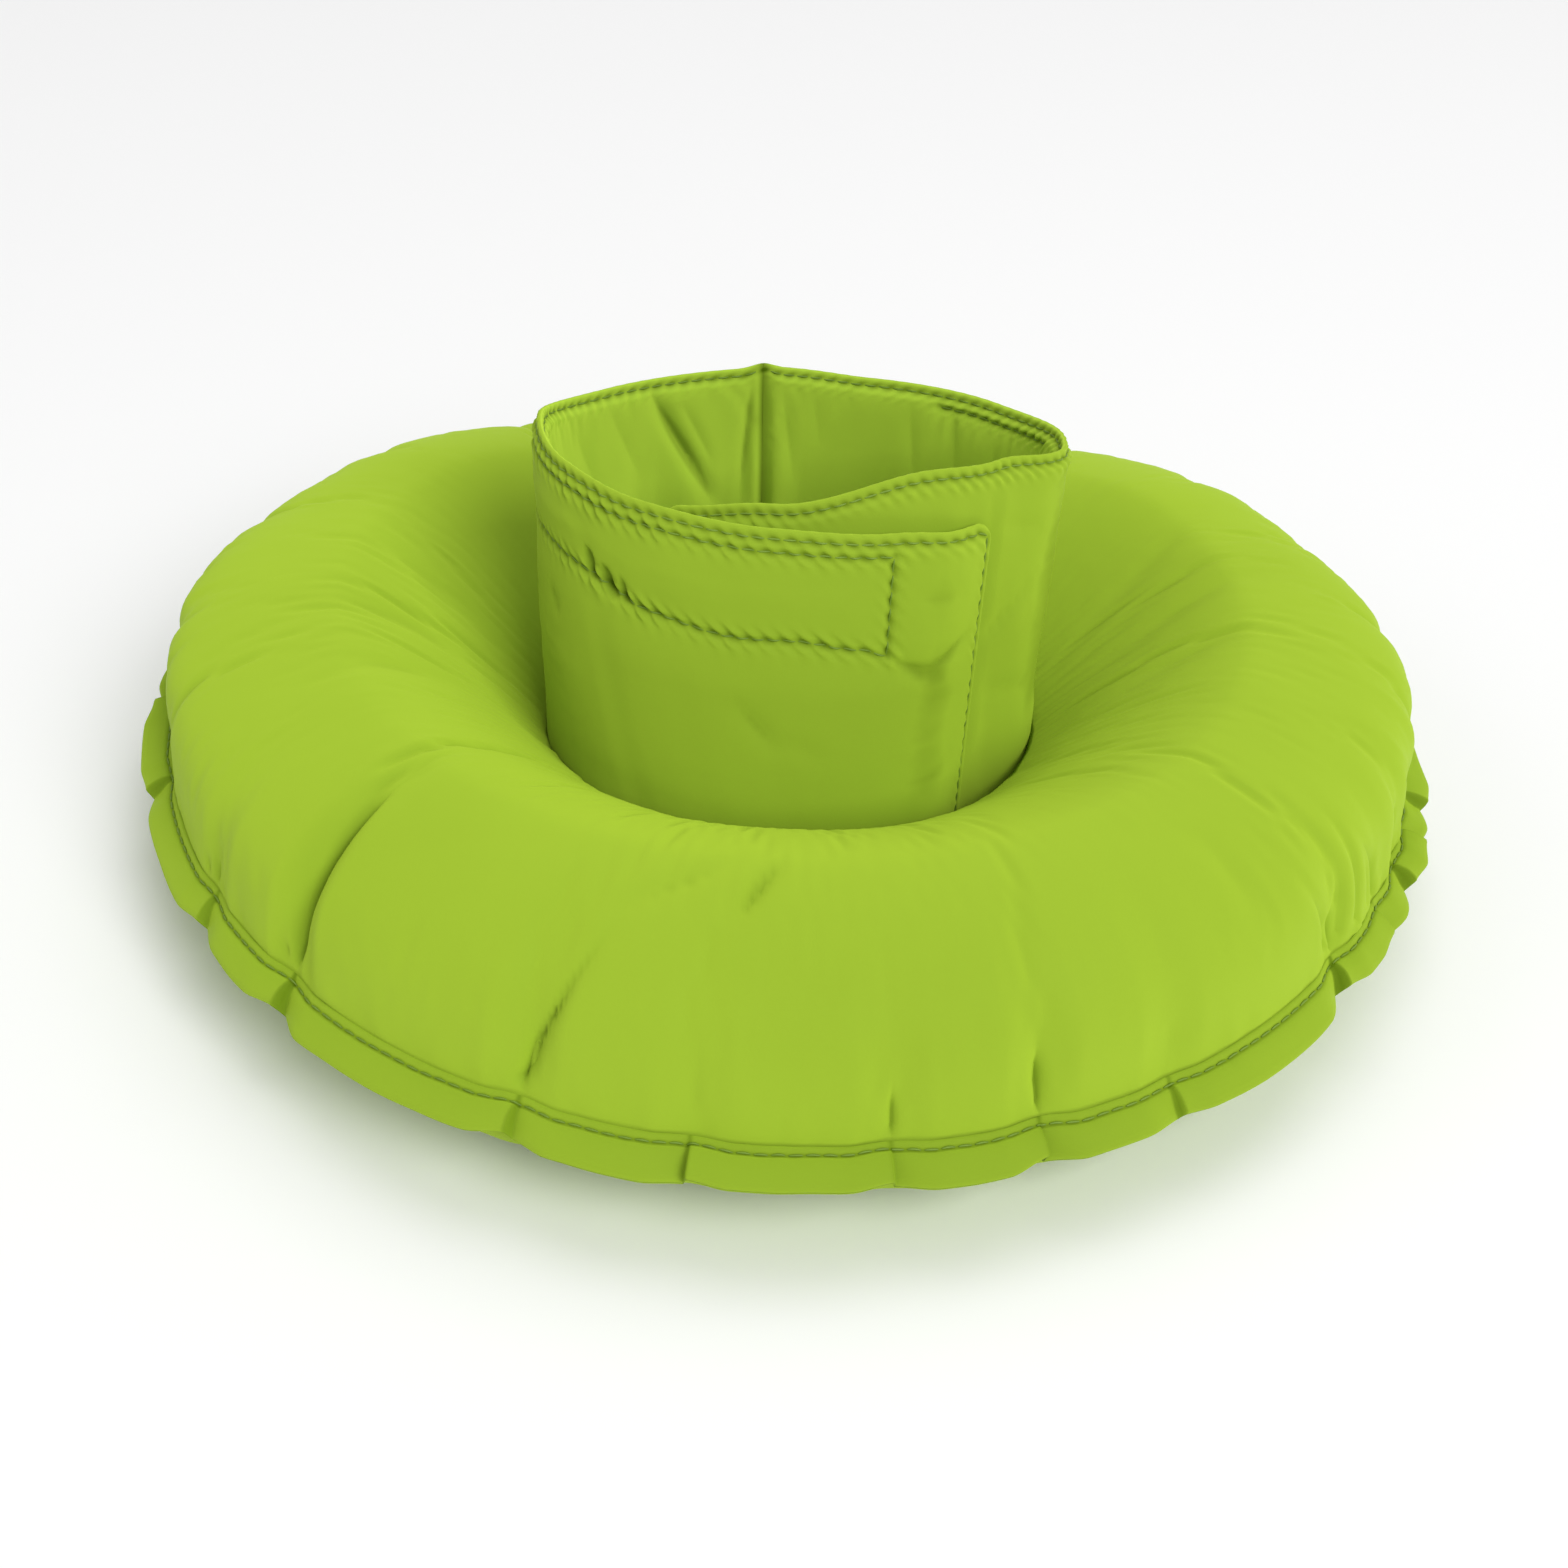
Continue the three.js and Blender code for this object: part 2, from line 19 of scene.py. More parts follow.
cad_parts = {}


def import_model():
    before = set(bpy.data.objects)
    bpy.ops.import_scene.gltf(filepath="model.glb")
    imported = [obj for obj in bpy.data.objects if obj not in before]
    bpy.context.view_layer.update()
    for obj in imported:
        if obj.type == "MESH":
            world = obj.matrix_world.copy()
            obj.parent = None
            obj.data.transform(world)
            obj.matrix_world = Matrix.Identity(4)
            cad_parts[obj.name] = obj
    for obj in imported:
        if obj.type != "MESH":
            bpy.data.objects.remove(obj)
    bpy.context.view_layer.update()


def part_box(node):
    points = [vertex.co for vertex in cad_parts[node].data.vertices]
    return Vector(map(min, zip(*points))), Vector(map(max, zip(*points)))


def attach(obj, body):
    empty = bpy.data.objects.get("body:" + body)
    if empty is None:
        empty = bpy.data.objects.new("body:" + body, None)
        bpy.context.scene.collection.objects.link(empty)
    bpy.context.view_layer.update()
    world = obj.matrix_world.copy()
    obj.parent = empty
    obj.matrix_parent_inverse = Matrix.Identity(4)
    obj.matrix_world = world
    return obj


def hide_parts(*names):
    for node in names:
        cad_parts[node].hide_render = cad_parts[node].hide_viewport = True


LOG = logging.getLogger("collar")
MM = 0.001
FULL_TURN = 360.0
SEAM_FOLD_START = 0.9
SMALL_TURN = 0.5
BODY = "root"
Array = np.ndarray


class Side(Enum):
    """Which face of a wall is meant."""

    OUTER = -1
    INNER = 1


class Layer(Enum):
    """Which panel of the ring is meant, by the direction in which it lies from the seam."""

    TOP = 1
    BOTTOM = -1


def ease(low: float | Array, high: float | Array, value: float | Array) -> Array:
    """Rise smoothly from 0 at low to 1 at high.

    Args:
        low: Value where the rise starts.
        high: Value where it ends.
        value: Values to look up.

    Returns:
        Numbers from 0 to 1, one for each value.
    """
    share = np.clip((value - low) / (np.asarray(high) - low), 0.0, 1.0)
    return share * share * (3.0 - 2.0 * share)


def bell(offset: Array) -> Array:
    """Bell of height 1 and half width 1."""
    return np.where(np.abs(offset) < 1.0, (1.0 - offset**2) ** 2, 0.0)


def turn_between(start: float | Array, end: Array) -> Array:
    """Smallest signed turn between two angles, in degrees."""
    return np.mod(end - start + FULL_TURN / 2, FULL_TURN) - FULL_TURN / 2


def along_rows(rows: Sequence, column: str, angle: Array, closed: bool = False) -> Array:
    """Look up one column of a table of rows along their angles, eased between rows.

    Args:
        rows: Rows with an angle called at, in rising order.
        column: Name of the value to look up.
        angle: Angles in degrees.
        closed: Whether the last row leads back to the first.

    Returns:
        The column's value at each angle.
    """
    at = np.array([row.at for row in rows], float)
    values = np.array([getattr(row, column) for row in rows], float)
    if closed:
        angle = np.mod(angle - at[0], FULL_TURN) + at[0]
        at = np.append(at, at[0] + FULL_TURN)
        values = np.append(values, values[0])
    index = np.clip(np.searchsorted(at, angle, side="right") - 1, 0, len(at) - 2)
    share = ease(at[index], at[index + 1], angle)
    return values[index] + (values[index + 1] - values[index]) * share


def ring_noise(angle: Array, count: int, seed: int) -> Array:
    """Smooth noise from -1 to 1 that closes on itself after a full turn.

    Args:
        angle: Angles in degrees.
        count: Number of random values round the turn.
        seed: Seed of those values.

    Returns:
        One number for each angle.
    """
    values = np.random.default_rng(seed).uniform(-1.0, 1.0, count)
    place = np.mod(angle, FULL_TURN) / FULL_TURN * count
    index = np.floor(place).astype(int)
    share = ease(0.0, 1.0, place - index)
    here = values[index % count]
    return here + (values[(index + 1) % count] - here) * share


@dataclass(frozen=True)
class Ripple:
    """Smooth random waves round the collar, with the number of random values in a full turn."""

    depth: float
    count: int
    seed: int

    def at(self, angle: Array, seed: int = 0) -> Array:
        """Height of the waves at each angle, with a seed that is added to their own."""
        return self.depth * ring_noise(angle, self.count, self.seed + seed)


@dataclass(frozen=True)
class Hill:
    """Smooth rise and fall of a strength round one angle."""

    middle: float
    width: float
    gain: float = 1.0

    def at(self, angle: Array) -> Array:
        """Strength at each angle."""
        return self.gain * np.exp(-((turn_between(self.middle, angle) / self.width) ** 2))


def look_up(grid: Array, row: Array, column: Array, closed: bool) -> Array:
    """Look up a grid of numbers between its points, with smooth cubic steps.

    Args:
        grid: Numbers in rows and columns.
        row: Places along the rows' numbers.
        column: Places along the columns' numbers, of the same shape.
        closed: Whether the last row is followed by the first.

    Returns:
        One number for each place.
    """
    first_row = np.floor(row).astype(int)
    first_column = np.floor(column).astype(int)
    total = np.zeros(np.broadcast(row, column).shape)
    column_weights = cubic_weights(column - first_column)
    for row_step, row_weight in enumerate(cubic_weights(row - first_row), start=-1):
        rows = first_row + row_step
        rows = rows % grid.shape[0] if closed else np.clip(rows, 0, grid.shape[0] - 1)
        for column_step, column_weight in enumerate(column_weights, start=-1):
            columns = np.clip(first_column + column_step, 0, grid.shape[1] - 1)
            total = total + grid[rows, columns] * row_weight * column_weight
    return total


def cubic_weights(share: Array) -> tuple[Array, Array, Array, Array]:
    """Weights of the four points round a place, for a smooth curve through all points."""
    square = share * share
    cube = square * share
    return ((2 * square - share - cube) / 2, (3 * cube - 5 * square + 2) / 2,
            (share + 4 * square - 3 * cube) / 2, (cube - square) / 2)


def blur(grid: Array, spread: float, closed: bool) -> Array:
    """Blur a grid of numbers along its rows' numbers.

    Args:
        grid: Numbers in rows and columns.
        spread: Width of the blur, in rows.
        closed: Whether the last row is followed by the first.

    Returns:
        The blurred grid.
    """
    reach = int(3 * spread)
    weights = np.exp(-0.5 * (np.arange(-reach, reach + 1) / spread) ** 2)
    weights /= weights.sum()
    wide = np.pad(grid, ((reach, reach), (0, 0)), mode="wrap" if closed else "edge")
    return sum(weight * wide[step: step + len(grid)] for step, weight in enumerate(weights))


@dataclass(frozen=True)
class AirCushion:
    """Cloth simulation of a sheet that is pinned at its seams and pushed out by air.

    The sheet has a little more fabric than it needs, so it folds as it fills. Its rise is held
    under a cap in millimetres, and the slow part of it, over a level's width in rows, is taken off.
    """

    closed: bool
    slack: float
    cap: float
    level: float = 0.0
    pressure: float = 20.0
    frames: int = 20
    scale: float = 0.01
    jitter: float = 0.05
    stiffness: float = 15.0
    shear_stiffness: float = 5.0
    bending: float = 0.05
    point_mass: float = 0.02
    air_damping: float = 2.0
    quality: int = 6
    seed: int = 5

    def relief(self, sheet: Array, outwards: Array, slack: Array, pinned: Array) -> Array:
        """Fill the sheet and measure how far it rises.

        Args:
            sheet: Points in rows and columns, in millimetres.
            outwards: Direction of each point away from the air.
            slack: Share of the spare fabric at each point.
            pinned: 1 where the sheet is held, 0 where it is free.

        Returns:
            Rise of each point in millimetres, 0 where the simulation is left out.
        """
        normals = np.cross(self.step(sheet, 0), self.step(sheet, 1))
        turned = np.einsum("ijk,ijk->", normals, outwards) < 0
        normals /= np.linalg.norm(normals, axis=2, keepdims=True) * (-1 if turned else 1)
        piece = self.sheet_object(sheet, slack, pinned, not turned)
        moved = self.fill(piece).reshape(sheet.shape) / self.scale - sheet
        rise = np.einsum("ijk,ijk->ij", moved, normals)
        if self.level:
            rise = rise - blur(rise, self.level, self.closed)
        return self.cap * np.tanh(rise / self.cap)

    def step(self, sheet: Array, axis: int) -> Array:
        """Step from each point to the next along an axis of the sheet."""
        if axis == 0 and self.closed:
            return np.roll(sheet, -1, axis=0) - np.roll(sheet, 1, axis=0)
        return np.gradient(sheet, axis=axis)

    def sheet_object(self, sheet: Array, slack: Array, pinned: Array, flip: bool) -> bpy.types.Object:
        """Make the sheet as an object with its cloth settings.

        Args:
            sheet: Points in rows and columns, in millimetres.
            slack: Share of the spare fabric at each point.
            pinned: 1 where the sheet is held, 0 where it is free.
            flip: Whether the faces run the other way round.

        Returns:
            The new object, with its weights and its cloth.
        """
        rows, columns, _ = sheet.shape
        noise = np.random.default_rng(self.seed).normal(0.0, self.jitter, sheet.shape)
        start = (sheet + noise * (1 - pinned[..., None])) * self.scale
        row = np.arange(rows if self.closed else rows - 1)
        here, column = np.meshgrid(row, np.arange(columns - 1), indexing="ij")
        there = (here + 1) % rows
        corners = [here * columns + column, there * columns + column,
                   there * columns + column + 1, here * columns + column + 1]
        faces = np.stack(corners, axis=-1).reshape(-1, 4)
        if not flip:
            faces = faces[:, ::-1]
        mesh = bpy.data.meshes.new("sheet")
        mesh.from_pydata(start.reshape(-1, 3).tolist(), [], faces.tolist())
        piece = bpy.data.objects.new("sheet", mesh)
        bpy.context.scene.collection.objects.link(piece)
        for name, weights in (("pinned", pinned), ("slack", slack)):
            group = piece.vertex_groups.new(name=name)
            for index, weight in enumerate(weights.ravel()):
                group.add([index], float(weight), "REPLACE")
        self.set_cloth(piece)
        return piece

    def set_cloth(self, piece: bpy.types.Object) -> None:
        """Add the cloth modifier and its settings."""
        cloth = piece.modifiers.new("cloth", "CLOTH")
        cloth.collision_settings.use_collision = False
        cloth.point_cache.frame_start = 1
        cloth.point_cache.frame_end = self.frames
        settings = cloth.settings
        settings.quality = self.quality
        settings.mass = self.point_mass
        settings.tension_stiffness = self.stiffness
        settings.compression_stiffness = self.stiffness
        settings.shear_stiffness = self.shear_stiffness
        settings.bending_stiffness = self.bending
        settings.vertex_group_mass = "pinned"
        settings.vertex_group_shrink = "slack"
        settings.shrink_max = -self.slack
        settings.use_pressure = True
        settings.uniform_pressure_force = self.pressure
        settings.air_damping = self.air_damping
        settings.effector_weights.gravity = 0.0

    def fill(self, piece: bpy.types.Object) -> Array:
        """Run the simulation, take the points and remove the sheet."""
        scene = bpy.context.scene
        for frame in range(1, self.frames + 1):
            scene.frame_set(frame)
        result = piece.evaluated_get(bpy.context.evaluated_depsgraph_get())
        points = np.zeros(len(result.data.vertices) * 3, np.float32)
        result.data.vertices.foreach_get("co", points)
        scene.frame_set(1)
        bpy.data.objects.remove(piece)
        return points.astype(float)


@dataclass(frozen=True)
class Grid:
    """Points of a mesh in rows of equal length, with numbers from 0 to 1 for each by name."""

    points: Array
    marks: dict[str, Array]
    rows_closed: bool = False


class MeshMaker:
    """Turns grids of points into Blender objects."""

    @staticmethod
    def faces(rows: int, columns: int, rows_closed: bool) -> Array:
        """Corner numbers of the grid's quads, whose columns always close on themselves."""
        row = np.arange(rows if rows_closed else rows - 1)
        here, column = np.meshgrid(row, np.arange(columns), indexing="ij")
        there = (here + 1) % rows
        after = (column + 1) % columns
        corners = [here * columns + column, here * columns + after,
                   there * columns + after, there * columns + column]
        return np.stack(corners, axis=-1).reshape(-1, 4)

    @staticmethod
    def make(name: str, vertices: Array, faces: Array, marks: dict[str, Array]) -> bpy.types.Object:
        """Make a smooth object from points in millimetres.

        Args:
            name: Name of the object.
            vertices: Points, one in each row.
            faces: Corner numbers, one face in each row.
            marks: Numbers for each point, which the finish reads by name.

        Returns:
            The new object, at the origin.
        """
        mesh = bpy.data.meshes.new(name)
        mesh.from_pydata((vertices * MM).tolist(), [], faces.tolist())
        for mark, numbers in marks.items():
            layer = mesh.attributes.new(mark, "FLOAT", "POINT")
            layer.data.foreach_set("value", numbers.astype(np.float32).ravel())
        mesh.validate()
        mesh.shade_smooth()
        piece = bpy.data.objects.new(name, mesh)
        bpy.context.scene.collection.objects.link(piece)
        return piece

    @classmethod
    def from_grid(cls, name: str, grid: Grid) -> bpy.types.Object:
        """Make a closed piece from a grid, with its faces turned outwards."""
        rows, columns, _ = grid.points.shape
        faces = cls.faces(rows, columns, grid.rows_closed)
        vertices = grid.points.reshape(-1, 3)
        corners = vertices[faces]
        normals = np.cross(corners[:, 2] - corners[:, 0], corners[:, 3] - corners[:, 1])
        if np.einsum("ij,ij->", corners.mean(axis=1), normals) < 0:
            faces = faces[:, ::-1]
        return cls.make(name, vertices, faces, grid.marks)


@dataclass(frozen=True)
class RingRow:
    """Shape of the ring at one angle: shares that are added to its sizes, and the flange's slope.

    The slope is called hang and is in degrees.
    """

    at: float
    reach: float
    lift: float
    crest: float
    seat: float
    swell: float
    hang: float


@dataclass(frozen=True)
class Tuck:
    """Small pleat of the outer seam and the crease that runs up the panel from it.

    Over is 1 where the pleat laps over towards rising angles, or -1.
    """

    at: float
    depth: float
    pull: float
    start: float
    twist: float
    over: int


@dataclass(frozen=True)
class Fold:
    """Soft or sharp fold of the top panel, along a line between two places on it.

    Low and high are shares of the panel's outline from the inner seam to the outer.
    """

    at: float
    to: float
    low: float
    high: float
    depth: float
    width: float
    sharp: float = 0.0

    @property
    def starts_at_seam(self) -> bool:
        """Whether the fold runs up from the outer seam and is deepest there."""
        return self.low > SEAM_FOLD_START


@dataclass(frozen=True)
class Gather:
    """One scale of fine wrinkles that leave a seam at right angles."""

    count: int
    depth: float
    reach: float
    seed: int
    lean: float = 0.0


RING_ROWS = (
    RingRow(0, 0.003, -0.06, 0.01, -0.1, 1, 14),
    RingRow(30, -0.014, 0, -0.03, -0.05, 0.8, 12),
    RingRow(62, -0.014, 0.03, -0.18, 0, 0.4, 10),
    RingRow(90, -0.008, 0.05, -0.22, 0, 0.3, 8),
    RingRow(118, -0.014, 0.05, -0.18, 0, 0.4, 10),
    RingRow(150, -0.018, 0.05, -0.03, -0.1, 0.8, 12),
    RingRow(180, -0.004, 0.12, 0.02, -0.28, 1, 14),
    RingRow(215, -0.008, 0.08, 0.01, -0.1, 0.4, 50),
    RingRow(245, -0.008, 0, 0, 0, 0.3, 36),
    RingRow(270, -0.012, -0.06, 0, 0.05, 0.2, 22),
    RingRow(300, -0.01, -0.04, 0.01, 0, 0.3, 34),
    RingRow(325, -0.007, 0.05, 0, -0.05, 0.4, 48),
)

TUCKS = (
    Tuck(5, 0.35, 0.6, 0.72, 1, 1),
    Tuck(21, 0.3, 0.5, 0.74, 0, -1),
    Tuck(38, 0.5, 0.8, 0.66, -2, 1),
    Tuck(56, 0.3, 0.5, 0.75, 1, 1),
    Tuck(75, 0.45, 0.7, 0.68, 2, -1),
    Tuck(92, 0.3, 0.5, 0.74, 0, 1),
    Tuck(109, 0.5, 0.8, 0.65, -2, 1),
    Tuck(127, 0.3, 0.6, 0.74, 1, -1),
    Tuck(146, 0.4, 0.7, 0.7, -1, 1),
    Tuck(165, 0.35, 0.6, 0.72, 1, 1),
    Tuck(183.5, 0.35, 0.8, 0.75, 0, -1),
    Tuck(196, 0.3, 0.6, 0.76, 0, 1),
    Tuck(214, 0.4, 0.7, 0.72, 1, 1),
    Tuck(227, 1, 1, 0.5, 0, 1),
    Tuck(250.3, 0.7, 0.9, 0.6, 3, 1),
    Tuck(264, 0.3, 0.7, 0.78, 0, -1),
    Tuck(279.3, 0.35, 0.7, 0.74, 0, 1),
    Tuck(291.2, 0.6, 1, 0.7, 0, 1),
    Tuck(303, 0.3, 0.6, 0.78, 0, -1),
    Tuck(324.2, 0.6, 1, 0.76, -2, -1),
    Tuck(333.6, 0.3, 0.6, 0.8, -2, 1),
    Tuck(340.6, 0.4, 0.8, 0.76, -1, -1),
    Tuck(347, 0.3, 0.6, 0.8, 0, 1),
    Tuck(353, 0.3, 0.6, 0.76, 0, -1),
)

TOP_FOLDS = (
    Fold(227, 227.5, 0.985, 0.48, 2.8, 1.5, 0.85),
    Fold(227.5, 225, 0.56, 0.36, 0.9, 2.4, 0.4),
    Fold(250.3, 257, 0.985, 0.56, 2.3, 1.6, 0.8),
    Fold(255, 268, 0.62, 0.42, 0.9, 3.2, 0.4),
    Fold(266, 270.5, 0.6, 0.43, 1.9, 1.9, 0.7),
    Fold(279.3, 279.2, 0.985, 0.87, 1.5, 1.2, 0.85),
    Fold(291.2, 291, 0.985, 0.84, 2.3, 1.3, 0.85),
    Fold(314, 313.3, 0.8, 0.55, 0.5, 2.5, 0.2),
    Fold(323.2, 319, 0.97, 0.69, 1.3, 1.7, 0.6),
    Fold(324.4, 324.8, 0.985, 0.85, 1.2, 1.1, 0.7),
    Fold(325.7, 325.2, 0.97, 0.72, 1.2, 1.3, 0.6),
    Fold(328.3, 328, 0.97, 0.64, 1.5, 1.5, 0.6),
    Fold(331.2, 329.5, 0.97, 0.75, 0.9, 1.3, 0.6),
    Fold(334, 328.5, 0.985, 0.7, 1.2, 1.5, 0.6),
    Fold(345, 343, 0.95, 0.71, 0.8, 1.8, 0.5),
    Fold(211.8, 211.8, 0.985, 0.93, 0.7, 0.9, 0.8),
    Fold(213.4, 213.3, 0.99, 0.91, 1.2, 1.0, 0.8),
    Fold(215, 215, 0.985, 0.94, 0.6, 0.9, 0.8),
    Fold(225.7, 225, 0.985, 0.93, 0.7, 1.0, 0.8),
    Fold(349, 356, 0.12, 0.5, 0.6, 3.0, 0.3),
    Fold(2, 9, 0.1, 0.55, 0.7, 3.0, 0.3),
    Fold(15, 24, 0.1, 0.48, 0.6, 3.0, 0.3),
    Fold(174, 172, 0.1, 0.46, 0.9, 3.5, 0.3),
    Fold(186, 190, 0.1, 0.5, 1.0, 3.0, 0.3),
    Fold(199, 207, 0.14, 0.56, 0.9, 3.0, 0.3),
)


@dataclass
class RingShape:
    """Sizes of the ring cushion and the smooth form that both panels follow."""

    ring_height: float
    seam_radius: float = 118.5
    seam_height: float = 22.0
    flange_width: float = 7.0
    flange_layer: float = 1.2
    crest_radius: float = 86.0
    side_bulge: float = 6.0
    inner_seam_height: float = 27.0
    rest_inner_radius: float = 68.0
    rest_outer_radius: float = 97.0
    crease_depth: float = 2.6
    tuck_pull: float = 1.0
    tuck_spread: float = 3.4
    hole_half_width: float = 47.5
    hole_half_depth: float = 45.0
    seam_gap: float = 0.1
    inner_slope: float = 1.4
    wall_fullness: float = 2.05
    inner_share: float = 5 / 11
    rest_start: float = 0.4
    rest_end: float = 0.6
    back_step: float = 0.6
    front_step: float = 0.37
    tuck_reach: float = 0.5
    tuck_steps: int = 11
    least_step: float = 0.06
    pleat_edge: float = 0.16
    pleat_lift: float = 1.4
    under_pull: float = 2.1
    over_push: float = 0.3
    flange_waves: tuple[Ripple, ...] = (Ripple(0.35, 40, 11), Ripple(0.15, 120, 12))
    edge_waves: Ripple = Ripple(0.35, 60, 13)

    def stations(self) -> Array:
        """Angles round the ring, closer together at the front and at the pleats."""
        back = np.arange(0.0, FULL_TURN / 2, self.back_step)
        front = np.arange(FULL_TURN / 2, FULL_TURN, self.front_step)
        steps = np.linspace(-self.tuck_reach, self.tuck_reach, self.tuck_steps)
        near = [tuck.at + steps for tuck in TUCKS]
        angles = np.unique(np.round(np.mod(np.concatenate([back, front, *near]), FULL_TURN), 3))
        return angles[np.append(np.diff(angles) > self.least_step, True)]

    def core(self, angle: Array) -> Array:
        """Middle of the ring's section at each angle, which the cover faces away from."""
        return around(angle, (self.rest_inner_radius + self.rest_outer_radius) / 2, self.seam_height)

    def gather(self, angle: Array) -> Array:
        """How strongly the tucks pull the outer seam in, from 0 to 1."""
        return sum(tuck.pull * bell(turn_between(tuck.at, angle) / self.tuck_spread) for tuck in TUCKS)

    def row(self, column: str, angle: Array) -> Array:
        """Look up one column of the ring's table."""
        return along_rows(RING_ROWS, column, angle, closed=True)

    def hole_radius(self, angle: Array) -> Array:
        """Radius of the hole that the sleeve stands in."""
        across = self.hole_half_depth * np.cos(np.radians(angle))
        along = self.hole_half_width * np.sin(np.radians(angle))
        return self.hole_half_width * self.hole_half_depth / np.hypot(across, along)

    def seam(self, angle: Array) -> tuple[Array, Array]:
        """Radius and height of the outer stitch line."""
        radius = self.seam_radius * (1 + self.row("reach", angle)) - self.tuck_pull * self.gather(angle)
        return radius, self.seam_height * (1 + self.row("lift", angle))

    def inner_seam(self, angle: Array) -> tuple[Array, Array]:
        """Radius and height of the seam in the hole."""
        return self.hole_radius(angle), self.inner_seam_height * (1 + self.row("seat", angle))

    def creases(self, angle: Array, along: Array) -> Array:
        """Depth of the tuck creases at a share of the top panel's outline."""
        depth = np.zeros(np.broadcast(angle, along).shape)
        for tuck in TUCKS:
            line = tuck.at + tuck.twist * (1 - along)
            run = ease(tuck.start, (tuck.start + 2) / 3, along) * (1 - ease(0.9, 1.0, along))
            depth += tuck.depth * run * bell(turn_between(line, angle) / self.tuck_spread)
        return depth * self.crease_depth

    def wall(self, seam: tuple[Array, Array], level: tuple[Array, Array], share: Array, round_wall: bool,
             inset: Array, bulge: Array | float = 0.0) -> tuple[Array, Array]:
        """Point of a ring wall between a seam and the place where it lies level.

        Args:
            seam: Radius and height of the seam, where share is 0.
            level: Radius and height of the level place, where share is 1.
            share: Place between them.
            round_wall: Whether the wall is rounded, rather than a slope.
            inset: How far the point moves inside.
            bulge: How far the wall swells out halfway.

        Returns:
            Radius and height of the point.
        """
        turn = np.radians(90 * share)
        power = 2 / self.wall_fullness
        side = np.cos(turn) ** power if round_wall else 1 - share
        rise = np.sin(turn) ** power if round_wall else 1 - (1 - share) ** self.inner_slope
        over = seam[0] - level[0]
        up = level[1] - seam[1]
        outwards = bulge * np.sin(2 * turn) ** 2 - inset * np.cos(turn)
        upwards = up * rise - np.sign(up) * inset * np.sin(turn)
        return level[0] + over * side + np.sign(over) * outwards, seam[1] + upwards

    def top(self, angle: Array, along: Array, inset: Array) -> tuple[Array, Array]:
        """Radius and height of the top panel.

        Args:
            angle: Angles round the ring.
            along: Shares of the panel's outline, from the inner to the outer seam.
            inset: How far each point moves inside.

        Returns:
            Radius and height of each point.
        """
        crest = (self.crest_radius, self.ring_height * (1 + self.row("crest", angle)))
        hole, seat = self.inner_seam(angle)
        radius, height = self.seam(angle)
        outer_seam = (radius, height + self.seam_gap + self.flange_layer)
        depth = inset + self.creases(angle, along)
        share = np.clip(along / self.inner_share, 0, 1)
        inner = self.wall((hole, seat + self.seam_gap), crest, share, False, depth)
        share = np.clip((1 - along) / (1 - self.inner_share), 0, 1)
        outer = self.wall(outer_seam, crest, share, True, depth, self.side_bulge * self.row("swell", angle))
        inside = along <= self.inner_share
        return np.where(inside, inner[0], outer[0]), np.where(inside, inner[1], outer[1])

    def bottom(self, angle: Array, along: Array, inset: Array) -> tuple[Array, Array]:
        """Radius and height of the bottom panel.

        Args:
            angle: Angles round the ring.
            along: Shares of the outline, from the inner seam over the flat rest to the outer seam.
            inset: How far each point moves inside.

        Returns:
            Radius and height of each point.
        """
        hole, seat = self.inner_seam(angle)
        radius, height = self.seam(angle)
        outer_seam = (radius, height - self.seam_gap - self.flange_layer)
        share = np.clip(along / self.rest_start, 0, 1)
        inner = self.wall((hole, seat - self.seam_gap), (self.rest_inner_radius, 0.0), share, True, inset)
        share = np.clip((1 - along) / (1 - self.rest_end), 0, 1)
        outer = self.wall(outer_seam, (self.rest_outer_radius, 0.0), share, True, inset)
        middle = np.clip((along - self.rest_start) / (self.rest_end - self.rest_start), 0, 1)
        flat = self.rest_inner_radius + (self.rest_outer_radius - self.rest_inner_radius) * middle
        is_flat = (along > self.rest_start) & (along < self.rest_end)
        radius = np.where(is_flat, flat, np.where(along <= 0.5, inner[0], outer[0]))
        return radius, np.where(is_flat, inset, np.where(along <= 0.5, inner[1], outer[1]))

    def pleats(self, angle: Array) -> tuple[Array, Array]:
        """Lift and inward pull of the flange where its pleats overlap, in millimetres."""
        lift = np.zeros_like(angle)
        pull = np.zeros_like(angle)
        for tuck in TUCKS:
            turn = turn_between(tuck.at, angle) * tuck.over
            step = ease(-self.pleat_edge, self.pleat_edge, turn)
            over = np.exp(-np.abs(turn) / 4.0) * (1 - step)
            under = np.exp(-np.abs(turn) / 2.0) * step
            lift += tuck.pull * self.pleat_lift * (over - under)
            pull += tuck.pull * (self.under_pull * under - self.over_push * over)
        return lift, pull

